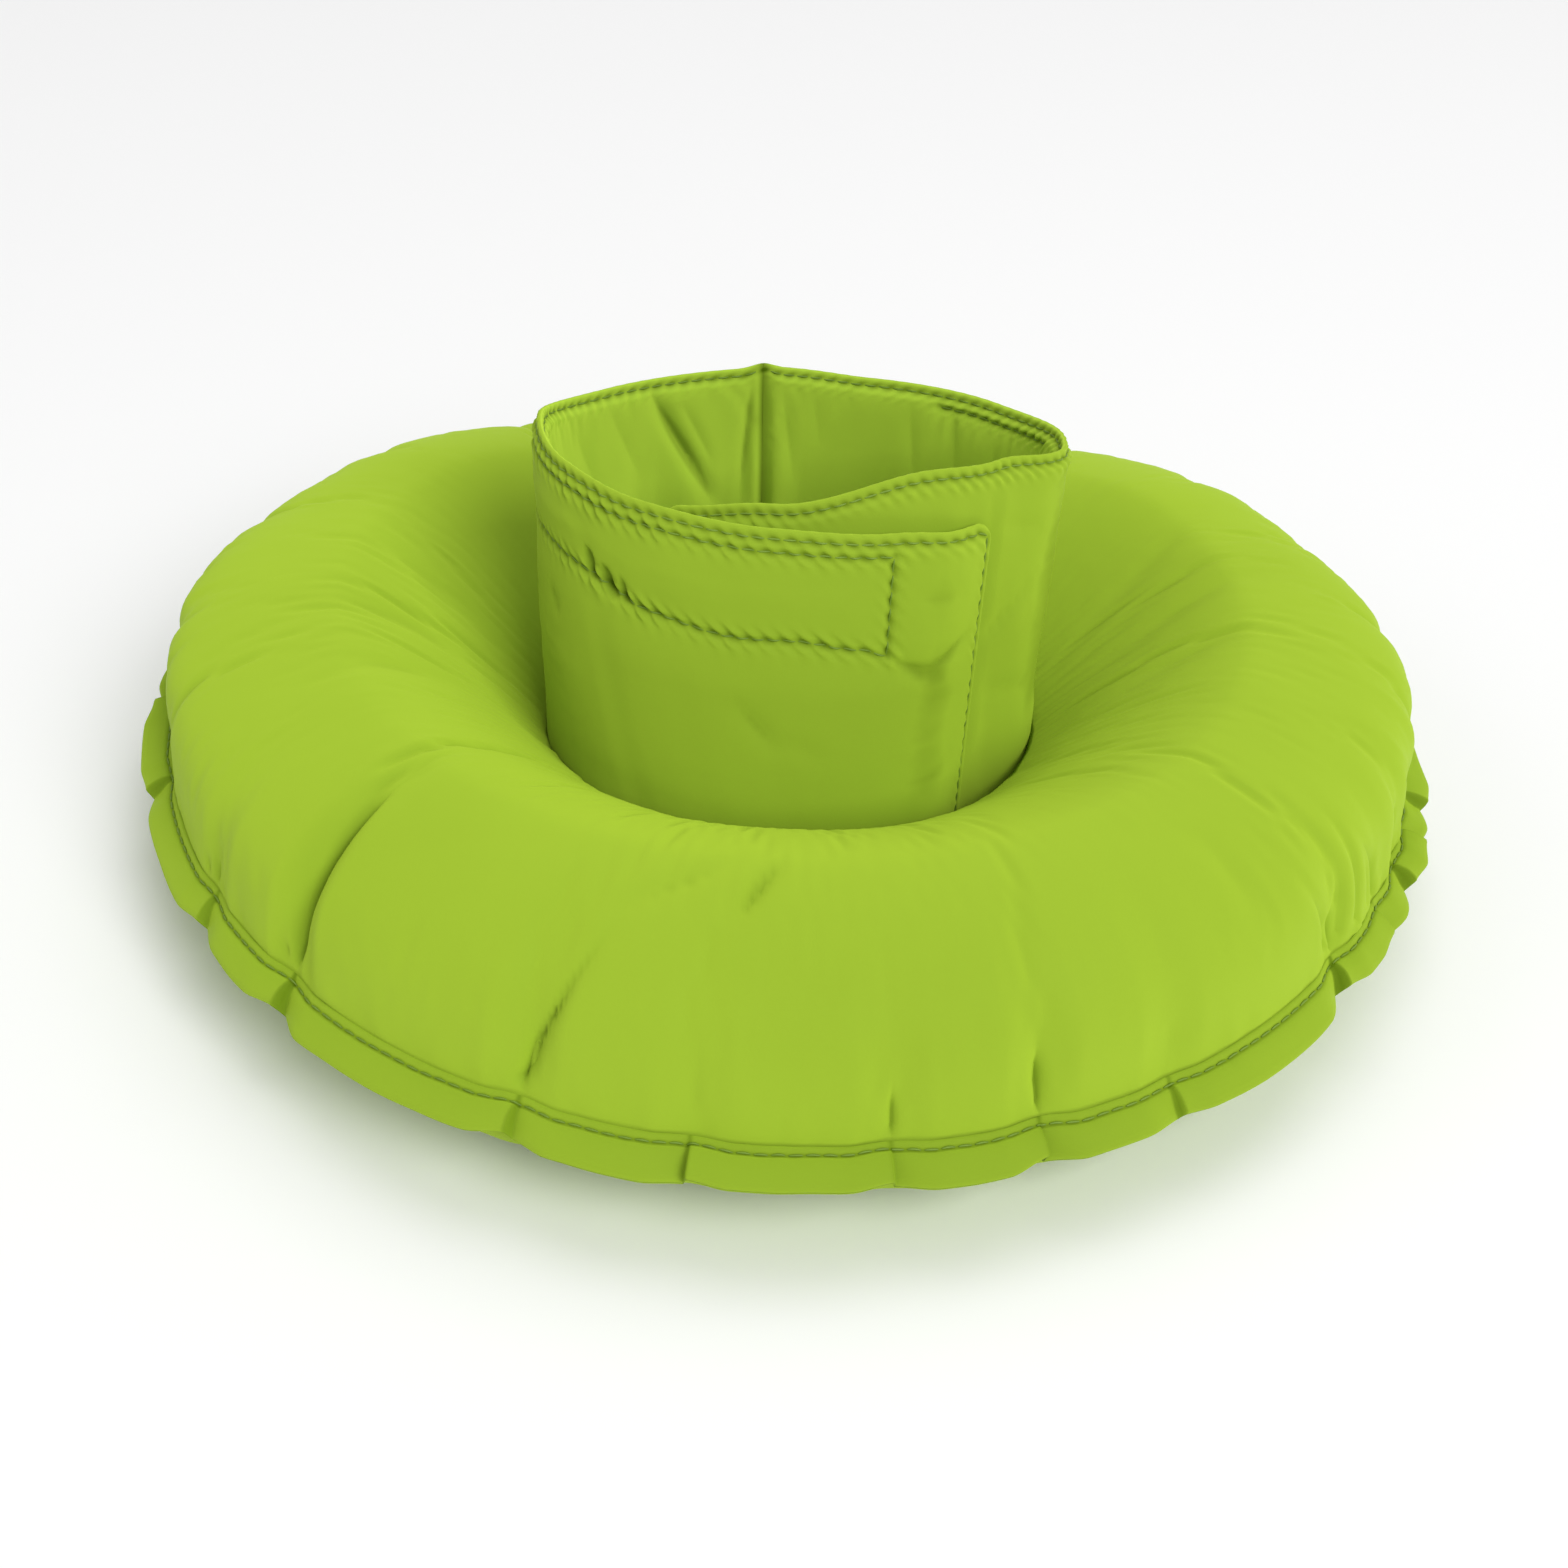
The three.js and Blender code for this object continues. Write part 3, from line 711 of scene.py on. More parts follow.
    def flange(self, angle: Array, out: Array, layer: Layer, depth: Array) -> tuple[Array, Array]:
        """Radius and height of a point of the flange.

        Args:
            angle: Angles round the ring.
            out: Distance outside the stitch line, in millimetres.
            layer: Whose face is meant.
            depth: Distance inside that face, in millimetres.

        Returns:
            Radius and height of each point.
        """
        hang = np.radians(self.row("hang", angle))
        radius, height = self.seam(angle)
        lift, pull = self.pleats(angle)
        share = out / self.flange_width
        free = ease(0.1, 0.7, share)
        scallop = free * self.edge_waves.at(angle)
        wide = out * np.cos(hang) - share * (self.tuck_pull * self.gather(angle) / 2 + pull + scallop)
        wave = sum(ripple.at(angle) for ripple in self.flange_waves)
        rise = free * (lift + wave) + ease(0.0, 0.3, share) * 0.35 * lift - out * np.sin(hang)
        slope = hang * ease(0.0, 0.6, share)
        offset = layer.value * (self.seam_gap + self.flange_layer - depth)
        return radius + wide + offset * np.sin(slope), height + rise + offset * np.cos(slope)


def around(angle: Array, radius: Array, height: Array) -> Array:
    """Points from angles, radii and heights."""
    turn = np.radians(angle)
    return np.stack(np.broadcast_arrays(radius * np.cos(turn), radius * np.sin(turn), height), axis=-1)


@dataclass
class RingCover:
    """One panel of the ring cushion with its layer of the flange, its seam ridge and gathers."""

    shape: RingShape
    layer: Layer
    air: AirCushion = AirCushion(closed=True, slack=0.08, cap=2.4, level=7.0)
    relief_gain: float = 0.8
    outer_gathers: tuple[Gather, ...] = (
        Gather(400, 0.2, 2.6, 21),
        Gather(230, 0.36, 5.0, 22, 0.1),
        Gather(118, 0.34, 9.0, 23, 0.15),
    )
    inner_gathers: tuple[Gather, ...] = (
        Gather(150, 0.22, 4.0, 31),
        Gather(84, 0.4, 9.0, 32, 0.2),
        Gather(44, 0.35, 16.0, 33, 0.25),
    )
    outer_hills: tuple[Hill, ...] = (Hill(332.0, 13.0, 1.1),)
    outer_mean: float = 0.45
    outer_waves: Ripple = Ripple(0.25, 17, 25)
    tuck_gain: float = 0.4
    tuck_width: float = 7.0
    inner_calm: Hill = Hill(280.0, 46.0, 0.8)
    inner_waves: Ripple = Ripple(0.25, 13, 35)
    relief_calm: Hill = Hill(304.0, 18.0, 0.7)
    slack_reach: float = 14.0
    spare_slack: float = 0.12
    rest_hold: float = 0.12
    seam_clearing: float = 1.2
    ridge_height: float = 0.38
    ridge_width: float = 0.95
    ridge_waves: Ripple = Ripple(0.45, 90, 43)
    pucker_waves: tuple[Ripple, ...] = (Ripple(0.12, 400, 41), Ripple(0.14, 170, 42))
    stitch_line: float = 1.3
    stitch_depth: float = 0.4
    flange_taper: float = 0.35
    flange_shade: float = 0.28
    seam_shade: float = 0.5
    pleat_shade: float = 0.8
    pleat_line_width: float = 0.22
    inner_wall: float = 1.0
    outline_steps: int = 60
    sheet_rows: int = 360
    sheet_columns: int = 30
    relief: Array | None = None

    def shares(self) -> Array:
        """Places along the panel's outline, close together at both seams."""
        turn = np.linspace(0, math.pi, self.outline_steps)
        even = turn / math.pi
        return 0.6 * even + 0.4 * (1 - np.cos(turn)) / 2

    def outline(self, angle: Array, along: Array, inset: Array) -> tuple[Array, Array]:
        """Radius and height on this panel's smooth form."""
        form = self.shape.top if self.layer is Layer.TOP else self.shape.bottom
        return form(angle, along, inset)

    @staticmethod
    def distances(radius: Array, height: Array) -> tuple[Array, Array]:
        """Distance of each point of some outlines from their inner and outer ends."""
        steps = np.hypot(np.diff(radius, axis=1), np.diff(height, axis=1))
        from_inner = np.concatenate([np.zeros((len(steps), 1)), np.cumsum(steps, axis=1)], axis=1)
        return from_inner, from_inner[:, -1:] - from_inner

    def simulate(self) -> None:
        """Let the panel fill with air and keep its relief."""
        angle = np.linspace(0.0, FULL_TURN, self.sheet_rows, endpoint=False)[:, None]
        along = np.linspace(0.0, 1.0, self.sheet_columns)[None, :]
        radius, height = self.outline(angle, along, 0.0)
        from_inner, from_outer = self.distances(radius, height)
        sheet = around(angle, radius, height)
        near_outer = np.exp(-from_outer / self.slack_reach) * self.outer_strength(angle)
        near_inner = np.exp(-from_inner / self.slack_reach) * self.inner_strength(angle)
        slack = np.clip(near_outer + near_inner + self.spare_slack, 0.0, 1.0)
        pinned = np.zeros(slack.shape)
        pinned[:, 0] = 1.0
        pinned[:, -1] = 1.0
        if self.layer is Layer.BOTTOM:
            pinned[:, np.abs(along[0] - 0.5) < self.rest_hold] = 1.0
        self.relief = self.air.relief(sheet, sheet - self.shape.core(angle), slack, pinned)

    def wrinkles(self, angle: Array, along: Array, radius: Array, height: Array) -> Array:
        """Depth of the relief, gathers and folds over the panel.

        Args:
            angle: Angle of each row of points.
            along: Share of the outline of each column.
            radius: Radius of each point on the smooth form.
            height: Height of each point there.

        Returns:
            Depth of each point in millimetres.
        """
        from_inner, from_outer = self.distances(radius, height)
        row = angle / FULL_TURN * self.sheet_rows
        row, column = np.broadcast_arrays(row, along * (self.sheet_columns - 1))
        calm = 1 - self.relief_calm.at(angle)
        depth = -self.relief_gain * calm * look_up(self.relief, row, column, True)
        gathers = ((self.outer_gathers, from_outer, self.outer_strength(angle)),
                   (self.inner_gathers, from_inner, self.inner_strength(angle)))
        for rows, distance, strength in gathers:
            for gather in rows:
                waves = ring_noise(angle + gather.lean * distance, gather.count, gather.seed)
                run = np.exp(-((distance / gather.reach) ** 1.2)) * ease(0.0, 1.6, distance)
                depth = depth + gather.depth * (waves - 0.15) * run * strength
        if self.layer is Layer.TOP:
            depth = depth + self.folds(angle, along, radius)
        clear = ease(0.0, self.seam_clearing, from_outer) * ease(0.0, self.seam_clearing, from_inner)
        return depth * clear

    def folds(self, angle: Array, along: Array, radius: Array) -> Array:
        """Depth of the named folds of the top panel."""
        depth = np.zeros_like(radius)
        for fold in TOP_FOLDS:
            share = np.clip((along - fold.low) / (fold.high - fold.low), 0.0, 1.0)
            line = fold.at + (fold.to - fold.at) * share**1.3
            from_seam = ease(0.0, 0.035, share) * (1 - ease(0.35, 1.0, share))
            run = from_seam if fold.starts_at_seam else np.sin(math.pi * share) ** 1.2
            offset = np.radians(turn_between(line, angle)) * radius / fold.width
            soft = np.exp(-(offset**2))
            crisp = np.exp(-np.abs(offset) * 2.2)
            depth += fold.depth * run * (soft * (1 - fold.sharp) + crisp * fold.sharp)
        return depth

    def outer_strength(self, angle: Array) -> Array:
        """How strongly the outer seam is gathered, more beside the big tucks and at the right."""
        near = sum(Hill(tuck.at, self.tuck_width, tuck.depth).at(angle) for tuck in TUCKS)
        hills = sum(hill.at(angle) for hill in self.outer_hills)
        return self.outer_mean + self.tuck_gain * near + hills + self.outer_waves.at(angle)

    def inner_strength(self, angle: Array) -> Array:
        """How strongly the neck seam is gathered, more at both sides than at the front."""
        return 1.0 - self.inner_calm.at(angle) + self.inner_waves.at(angle)

    def seam_profile(self) -> Array:
        """Columns of distance outside the stitch line and lift above the flange."""
        ridge = np.linspace(0.15, self.ridge_width, 6)
        lift = self.ridge_height * np.sin(math.pi * (ridge / self.ridge_width) ** 0.8)
        groove = np.array([
            [self.stitch_line - 0.1, -self.stitch_depth],
            [self.stitch_line + 0.2, -self.stitch_depth],
            [self.stitch_line + 0.55, -0.05],
            [self.stitch_line + 0.9, 0.0],
        ])
        width = self.shape.flange_width
        plain = np.stack([np.linspace(2.7, width - 0.5, 5), np.linspace(0.0, -self.flange_taper, 5)], axis=1)
        down = self.shape.flange_layer + self.shape.seam_gap
        edge = np.array([
            [width - 0.15, -0.25 * down - self.flange_taper],
            [width, -0.65 * down],
            [width, -0.96 * down],
        ])
        return np.concatenate([np.stack([ridge, lift], axis=1), groove, plain, edge])

    def flange_point(self, angle: Array, out: Array, lift: Array) -> Array:
        """Point on the flange, with a ridge at the seam and small puckers beside the stitch line.

        Args:
            angle: Angles round the ring.
            out: Distance of each point outside the seam.
            lift: Its height over the flange, or its depth below it.

        Returns:
            The points.
        """
        near = np.exp(-(((out - self.stitch_line) / 1.3) ** 2))
        pucker = near * sum(ripple.at(angle) for ripple in self.pucker_waves)
        wobble = 0.75 + self.ridge_waves.at(angle)
        depth = -(lift * np.where(lift > 0, wobble, 1.0) + pucker)
        return around(angle, *self.shape.flange(angle, out, self.layer, depth))

    def build(self, name: str) -> bpy.types.Object:
        """Make the panel as one closed piece."""
        self.simulate()
        angle = self.shape.stations()[:, None]
        along = self.shares()[None, :]
        radius, height = self.outline(angle, along, 0.0)
        depth = self.wrinkles(angle, along, radius, height)
        skin = around(angle, *self.outline(angle, along, depth))
        profile = self.seam_profile()
        flange = self.flange_point(angle, profile[None, :, 0], profile[None, :, 1])
        under_out = np.array([[self.shape.flange_width - 0.2, 4.5, 0.3]])
        under_depth = self.shape.flange_layer - 0.02
        under = around(angle, *self.shape.flange(angle, under_out, self.layer, under_depth))
        inner_along = np.linspace(0.97, 0.0, 9)[None, :]
        inner_depth = np.stack([np.interp(inner_along[0], along[0], row) for row in depth])
        inner = around(angle, *self.outline(angle, inner_along, inner_depth + self.inner_wall))
        points = np.concatenate([skin, flange, under, inner], axis=1)
        # Painted shade: the crease mark darkens the panel where it sinks in and beside the outer seam, and
        # darkens the flange in its stitch groove, all over and along the pleats' edges.
        shade = np.zeros(points.shape[:2])
        shade[:, : skin.shape[1]] = np.clip((depth - 0.5) / 2.6, 0.0, 0.8)
        groove = np.clip(-profile[:, 1] / self.stitch_depth, 0.0, 1.0) * (profile[:, 0] < 4.0)
        from_outer = self.distances(radius, height)[1]
        shade[:, : skin.shape[1]] += self.seam_shade * np.exp(-((from_outer / 0.6) ** 2))
        painted_flange_shade = np.maximum(groove * 0.75, self.flange_shade)[None, :] + self.painted_pleat_shade(angle)
        shade[:, skin.shape[1]: skin.shape[1] + len(profile)] = painted_flange_shade
        return MeshMaker.from_grid(name, Grid(points, {"crease": shade}, rows_closed=True))

    def painted_pleat_shade(self, angle: Array) -> Array:
        """Painted shade along the pleats' edges at each angle."""
        width = self.pleat_line_width
        return self.pleat_shade * sum(Hill(tuck.at, width, tuck.pull).at(angle) for tuck in TUCKS)

    def stitch_path(self) -> tuple[Array, Array]:
        """Points and outward directions along the stitch line."""
        angle = np.arange(0.0, FULL_TURN, 0.2)
        out = np.full_like(angle, self.stitch_line)
        points = self.flange_point(angle, out, np.full_like(angle, -self.stitch_depth * 0.5))
        up = np.zeros_like(points)
        up[:, 2] = self.layer.value
        return points, up


@dataclass(frozen=True)
class RimRow:
    """Rim line of a sleeve panel at one angle, as a share of the rim's height."""

    at: float
    rise: float


@dataclass(frozen=True)
class WallFold:
    """Upright fold of the sleeve wall; low and high are shares of its height."""

    at: float
    depth: float
    spread: float
    low: float
    high: float
    twist: float


LEFT_RIM = (
    RimRow(100, -0.012), RimRow(140, -0.005), RimRow(180, 0.01), RimRow(210, -0.004), RimRow(235, -0.018),
    RimRow(265, -0.028), RimRow(290, -0.038), RimRow(319, -0.07),
)
RIGHT_RIM = (
    RimRow(-124, -0.05), RimRow(-96, -0.015), RimRow(-60, 0.044), RimRow(-35, 0.03),
    RimRow(0, 0), RimRow(40, -0.03), RimRow(75, -0.035), RimRow(100, -0.012),
)
WALL_FOLDS = (
    WallFold(42, 0.25, 12, 0.1, 0.9, 4),
    WallFold(98, 0.5, 8, 0, 0.97, 3),
    WallFold(121, 1, 11, 0.05, 0.95, 12),
    WallFold(146, 0.45, 10, 0.1, 0.92, 8),
    WallFold(205, -0.3, 18, 0.3, 0.7, 0),
    WallFold(338, -0.3, 14, 0.35, 0.8, 0),
)


@dataclass(frozen=True)
class Crease:
    """Small crease of one face of a sleeve panel, along a line from at and low to to and high."""

    side: Side
    at: float
    low: float
    to: float
    high: float
    depth: float
    width: float


@dataclass(frozen=True)
class LineRow:
    """Distance between the two long lines of the stitched rectangle at one angle."""

    at: float
    reach: float


TAPE_LINE_ROWS = (
    LineRow(182, 13.8), LineRow(205, 12.9), LineRow(222, 13.1), LineRow(239, 15.0),
    LineRow(256, 15.7), LineRow(271, 15.2), LineRow(284, 16.2), LineRow(291, 17.7),
)
HOOK_TAPE_ENDS = (182.0, 290.0)
LOOP_TAPE_ENDS = (-118.0, -61.0)
FLAP_CREASES = (
    Crease(Side.OUTER, 184, 47, 192, 43, 1.4, 1.6),
    Crease(Side.OUTER, 220.5, 73.5, 223, 67.5, 1.7, 1.0),
    Crease(Side.OUTER, 225.5, 71.5, 229.5, 65.5, 1.9, 1.1),
    Crease(Side.OUTER, 231, 70.5, 232.5, 65.5, 1.3, 0.9),
    Crease(Side.OUTER, 203, 61, 210, 57, 0.5, 1.8),
    Crease(Side.OUTER, 257, 54, 269, 44, 0.8, 2.0),
    Crease(Side.OUTER, 268, 47, 279, 43, 0.45, 2.4),
    Crease(Side.OUTER, 291, 61, 305, 55, 1.3, 1.5),
    Crease(Side.OUTER, 299, 57.5, 313, 62, 0.9, 1.5),
    Crease(Side.OUTER, 293, 72, 310, 70, 0.4, 1.8),
    Crease(Side.OUTER, 298, 53, 312, 50, 0.35, 2.4),
    Crease(Side.OUTER, 300, 34, 311, 39, 0.3, 2.4),
    Crease(Side.INNER, 129, 84, 112, 50, 2.9, 2.1),
    Crease(Side.INNER, 102.5, 84, 106, 50, 1.8, 1.8),
    Crease(Side.INNER, 121, 80, 113, 62, 0.8, 1.5),
    Crease(Side.INNER, 142, 82, 134, 62, 0.5, 2.0),
    Crease(Side.INNER, 157, 80, 149, 62, 0.45, 2.2),
)
UNDERLAP_CREASES = (
    Crease(Side.OUTER, -36, 78, -18, 74, 0.45, 1.9),
    Crease(Side.OUTER, -40, 55, -20, 64, 1.0, 1.8),
    Crease(Side.OUTER, -36, 46, -14, 40, 0.7, 2.2),
    Crease(Side.INNER, 96, 82, 92, 56, 0.7, 1.6),
    Crease(Side.INNER, 88, 80, 86, 66, 0.35, 1.8),
    Crease(Side.INNER, 64, 80, 60, 60, 0.4, 1.8),
    Crease(Side.INNER, 51, 79, 48, 62, 0.35, 1.5),
    Crease(Side.INNER, 38, 78, 33, 64, 0.3, 1.8),
)


@dataclass
class SleeveShape:
    """Sizes of the neck sleeve and the smooth form that its layers follow."""

    foot_height: float
    base_half_width: float = 47.5
    base_half_depth: float = 45.0
    rim_half_width: float = 49.0
    rim_front_depth: float = 34.5
    rim_back_depth: float = 31.0
    rim_pinch: float = 0.4
    rim_height: float = 86.0
    lean_height: float = 33.0
    wall: float = 3.0
    hem: float = 4.0
    fold_depth: float = 3.2
    tape_width: float = 18.0
    tape_thickness: float = 1.2
    tape_drop: float = 7.0
    clearance: float = 0.3
    back_seam: float = 100.0
    flap_end: float = 319.0
    underlap_end: float = -124.0
    lap_start: float = -2.0
    lap_full: float = -36.0
    flap_tuck: float = 300.0

    @property
    def hook_depth(self) -> float:
        """Depth of the hook tape's outer face inside the sleeve's."""
        return self.wall + self.clearance

    @property
    def loop_depth(self) -> float:
        """Depth of the loop tape's outer face."""
        return self.hook_depth + self.tape_thickness + self.clearance

    @property
    def underlap_depth(self) -> float:
        """Depth of the underlap's outer face."""
        return self.loop_depth + self.tape_thickness + self.clearance

    def as_turn(self, distance: float) -> float:
        """Turn in degrees of a distance along the sleeve near its rim."""
        return math.degrees(distance / ((self.rim_half_width + self.rim_front_depth) / 2))

    def as_distance(self, turn: Array) -> Array:
        """Distance along the sleeve near its rim of a turn in degrees."""
        return np.radians(turn) * (self.rim_half_width + self.rim_front_depth) / 2

    def rim(self, rows: tuple[RimRow, ...], angle: Array) -> Array:
        """Height of a rim line at each angle."""
        return self.rim_height * (1 + along_rows(rows, "rise", angle))

    def fold(self, angle: Array, height: Array) -> Array:
        """Inward dent of the sleeve wall from its folds."""
        share = (height - self.foot_height) / (self.rim_height - self.foot_height)
        free = ease(self.lean_height - self.hem, self.lean_height + self.hem, height)
        depth = np.zeros(np.broadcast(angle, height).shape)
        for row in WALL_FOLDS:
            middle = (row.low + row.high) / 2
            run = ease(row.low, middle, share) * (1 - ease(middle, row.high, share))
            line = row.at + row.twist * (middle - share)
            depth += self.fold_depth * row.depth * free * run * bell(turn_between(line, angle) / row.spread)
        return depth

    def plan(self, angle: Array, height: Array) -> tuple[Array, Array]:
        """Plan of the sleeve's outer face at each height."""
        lean = np.clip((height - self.lean_height) / (self.rim_height - self.lean_height), 0.0, 1.1) ** 1.2
        cos = np.cos(np.radians(angle))
        sin = np.sin(np.radians(angle))
        back = self.rim_back_depth * (1 - self.rim_pinch * ((1 - cos) / 2) ** 3)
        rim_depth = np.where(sin < 0, self.rim_front_depth, back)
        width = self.base_half_width + (self.rim_half_width - self.base_half_width) * lean
        depth = self.base_half_depth + (rim_depth - self.base_half_depth) * lean
        return width * cos, depth * sin

    def point(self, angle: Array, height: Array, depth: Array) -> Array:
        """Point of the sleeve, moved inwards from its outer face.

        Args:
            angle: Angles round the sleeve.
            height: Heights above the floor.
            depth: Distance inside the outer face, to which the folds are added.

        Returns:
            The points.
        """
        angle, height, depth = np.broadcast_arrays(angle, height, depth)
        ahead = self.plan(angle + SMALL_TURN, height)
        behind = self.plan(angle - SMALL_TURN, height)
        along = np.stack([ahead[0] - behind[0], ahead[1] - behind[1]], axis=-1)
        along = along / np.linalg.norm(along, axis=-1, keepdims=True)
        x, y = self.plan(angle, height)
        total = depth + self.fold(angle, height)
        return np.stack([x - along[..., 1] * total, y + along[..., 0] * total, height], axis=-1)


@dataclass(frozen=True)
class StitchLine:
    """A row of stitches on a sleeve panel."""

    side: Side
    angles: Array
    heights: Array


@dataclass
class SleevePanel:
    """One padded panel of the neck sleeve, with hems, stitch grooves and small creases."""

    shape: SleeveShape
    start: float
    end: float
    rim_rows: tuple[RimRow, ...]
    start_is_free: bool
    end_is_free: bool
    creases: tuple[Crease, ...]
    seed: int
    air: AirCushion = AirCushion(closed=False, slack=0.07, cap=1.1, level=0.0, pressure=14.0, frames=16)
    relief_gain: float = 0.9
    edge_round: float = 0.9
    groove_depth: float = 0.5
    groove_width: float = 0.75
    stitch_pitch: float = 2.7
    stitch_margin: float = 1.5
    stitch_lean: float = 0.9
    pucker_depth: float = 0.36
    fine_waves: Ripple = Ripple(0.15, 60, 1)
    wide_waves: Ripple = Ripple(0.2, 24, 2)
    ring_grip: tuple[float, float] = (29.0, 36.0)
    pin_reach: float = 0.8
    lower_band: float = 20.0
    band_reach: float = 2.6
    station_step: float = 0.5
    corner: float = 4.0
    puff: float = 0.3
    seam_dent: float = 0.75
    seam_peak: float = 1.1
    hem_pinch: float = 0.58
    sheet_rows: int = 112
    sheet_columns: int = 50
    reliefs: dict[Side, Array] = field(default_factory=dict)

    def simulate(self) -> None:
        """Let both faces puff up between their stitches and keep their relief."""
        angle = np.linspace(self.start, self.end, self.sheet_rows)[:, None]
        share = np.linspace(0.0, 1.0, self.sheet_columns)[None, :]
        height = self.shape.foot_height + (self.rim(angle) - self.shape.foot_height) * share
        for side in Side:
            depth = self.offset(angle) + self.shape.wall / 2 * (1 + side.value)
            sheet = self.shape.point(angle, height, depth)
            outwards = self.shape.point(angle, height, depth + side.value) - sheet
            distance = self.line_distance(angle, height, side)
            pinned = np.where(distance < self.pin_reach, 1.0, 0.0)
            pinned[[0, -1]] = 1.0
            pinned[:, [0, -1]] = 1.0
            slack = np.clip(0.3 + 0.8 * np.exp(-distance / 4.0), 0.0, 1.0)
            self.reliefs[side] = self.air.relief(sheet, outwards, slack, pinned)

    def room(self, angle: Array, height: Array, side: Side) -> Array:
        """Share of the relief that has room; the outer face is held where it stands in the ring."""
        if side is Side.OUTER:
            return ease(*self.ring_grip, height)
        return np.ones(np.broadcast(angle, height).shape)

    def rise(self, angle: Array, height: Array, side: Side) -> Array:
        """Rise of the simulated relief and depth of the creases, together."""
        share = (height - self.shape.foot_height) / (self.rim(angle) - self.shape.foot_height)
        row = (angle - self.start) / (self.end - self.start) * (self.sheet_rows - 1)
        row, column = np.broadcast_arrays(row, share * (self.sheet_columns - 1))
        total = self.relief_gain * look_up(self.reliefs[side], row, column, False)
        for crease in self.creases:
            if crease.side is side:
                total = total - self.crease_depth(crease, angle, height)
        return total * self.room(angle, height, side)

    def crease_depth(self, crease: Crease, angle: Array, height: Array) -> Array:
        """Depth of one crease over the face.

        Args:
            crease: The crease.
            angle: Angles over the face.
            height: Heights over the face.

        Returns:
            Depth at each point, deepest in the middle of the crease.
        """
        along = np.array([self.shape.as_distance(crease.to - crease.at), crease.high - crease.low])
        length = np.hypot(*along)
        across = self.shape.as_distance(angle - crease.at)
        up = height - crease.low
        share = np.clip((across * along[0] + up * along[1]) / length**2, 0.0, 1.0)
        offset = np.hypot(across - share * along[0], up - share * along[1]) / crease.width
        run = np.sin(math.pi * share) ** 0.8
        return crease.depth * run * (np.exp(-(offset**2)) + np.exp(-2.2 * offset)) / 2

    def rim(self, angle: Array) -> Array:
        """Height of the rim, rounded at a free corner."""
        height = self.shape.rim(self.rim_rows, angle)
        height = height + self.seam_peak * np.exp(-((self.sewn_distance(angle) / 2.2) ** 2))
        inside = np.clip(self.free_distance(angle) / self.corner, 0.0, 1.0)
        return height - self.corner * (1 - np.sqrt(1 - (1 - inside) ** 2))

    def free_distance(self, angle: Array) -> Array:
        """Distance to the nearest free end."""
        distance = np.full(np.shape(angle), np.inf)
        if self.start_is_free:
            distance = np.minimum(distance, self.shape.as_distance(angle - self.start))
        if self.end_is_free:
            distance = np.minimum(distance, self.shape.as_distance(self.end - angle))
        return np.maximum(distance, 0.0)

    def sewn_distance(self, angle: Array) -> Array:
        """Distance to the sewn end."""
        turn = self.end - angle if self.start_is_free else angle - self.start
        return np.maximum(self.shape.as_distance(turn), 0.0)

    def offset(self, angle: Array) -> Array:
        """Depth of the panel's outer face inside the sleeve's."""
        return np.zeros(np.shape(angle))

    def lines(self, side: Side) -> list[StitchLine]:
        """Rows of stitches on one side; the hems are sewn through both."""
        margin = self.shape.as_turn(self.stitch_margin)
        start = self.start + (margin if self.start_is_free else self.shape.as_turn(1.0))
        end = self.end - (margin if self.end_is_free else self.shape.as_turn(1.0))
        angles = np.linspace(start, end, 400)
        rows = [StitchLine(side, angles, self.rim(angles) - self.stitch_margin)]
        for free, angle in ((self.start_is_free, start), (self.end_is_free, end)):
            if free:
                top = float(self.rim(np.array([angle]))[0]) - self.stitch_margin
                heights = np.linspace(top, self.shape.foot_height + self.stitch_margin, 200)
                rows.append(StitchLine(side, np.full(200, angle), heights))
        return rows

    def line_distance(self, angle: Array, height: Array, side: Side) -> Array:
        """Distance to the nearest stitch line on one side, worked out from the panel's own lines."""
        below_rim = np.abs(self.rim(angle) - height - self.stitch_margin)
        beside_end = np.abs(self.free_distance(angle) - self.stitch_margin)
        in_reach = self.free_distance(angle) > self.stitch_margin - 0.5
        under_hem = height < self.rim(angle) - self.stitch_margin + 0.5
        rim_line = np.where(in_reach, below_rim, np.inf)
        end_line = np.where(under_hem, beside_end, np.inf)
        return np.minimum(rim_line, end_line)

    def relief(self, angle: Array, height: Array, side: Side) -> Array:
        """Depth of stitch grooves, puckers and creases below the padded face."""
        distance = self.line_distance(angle, height, side)
        groove = self.groove_depth * np.exp(-((distance / self.groove_width) ** 2))
        beat = self.stitch_beat(angle, height) * (0.7 + 0.4 * ring_noise(angle, 90, self.seed))
        pucker = self.pucker_depth * beat * np.exp(-(((distance - 0.9) / 1.4) ** 2))
        waves = self.fine_waves.at(angle + height * 0.35, self.seed)
        waves = waves + self.wide_waves.at(angle - height * 0.5, self.seed)
        return groove + pucker + waves * ease(1.0, 6.0, distance) - self.rise(angle, height, side)

    def stitch_beat(self, angle: Array, height: Array) -> Array:
        """Wave from -1 to 1 that follows the stitches along every line."""
        place = (self.shape.as_distance(angle) + height * self.stitch_lean) / self.stitch_pitch
        return np.cos(2 * math.pi * place)

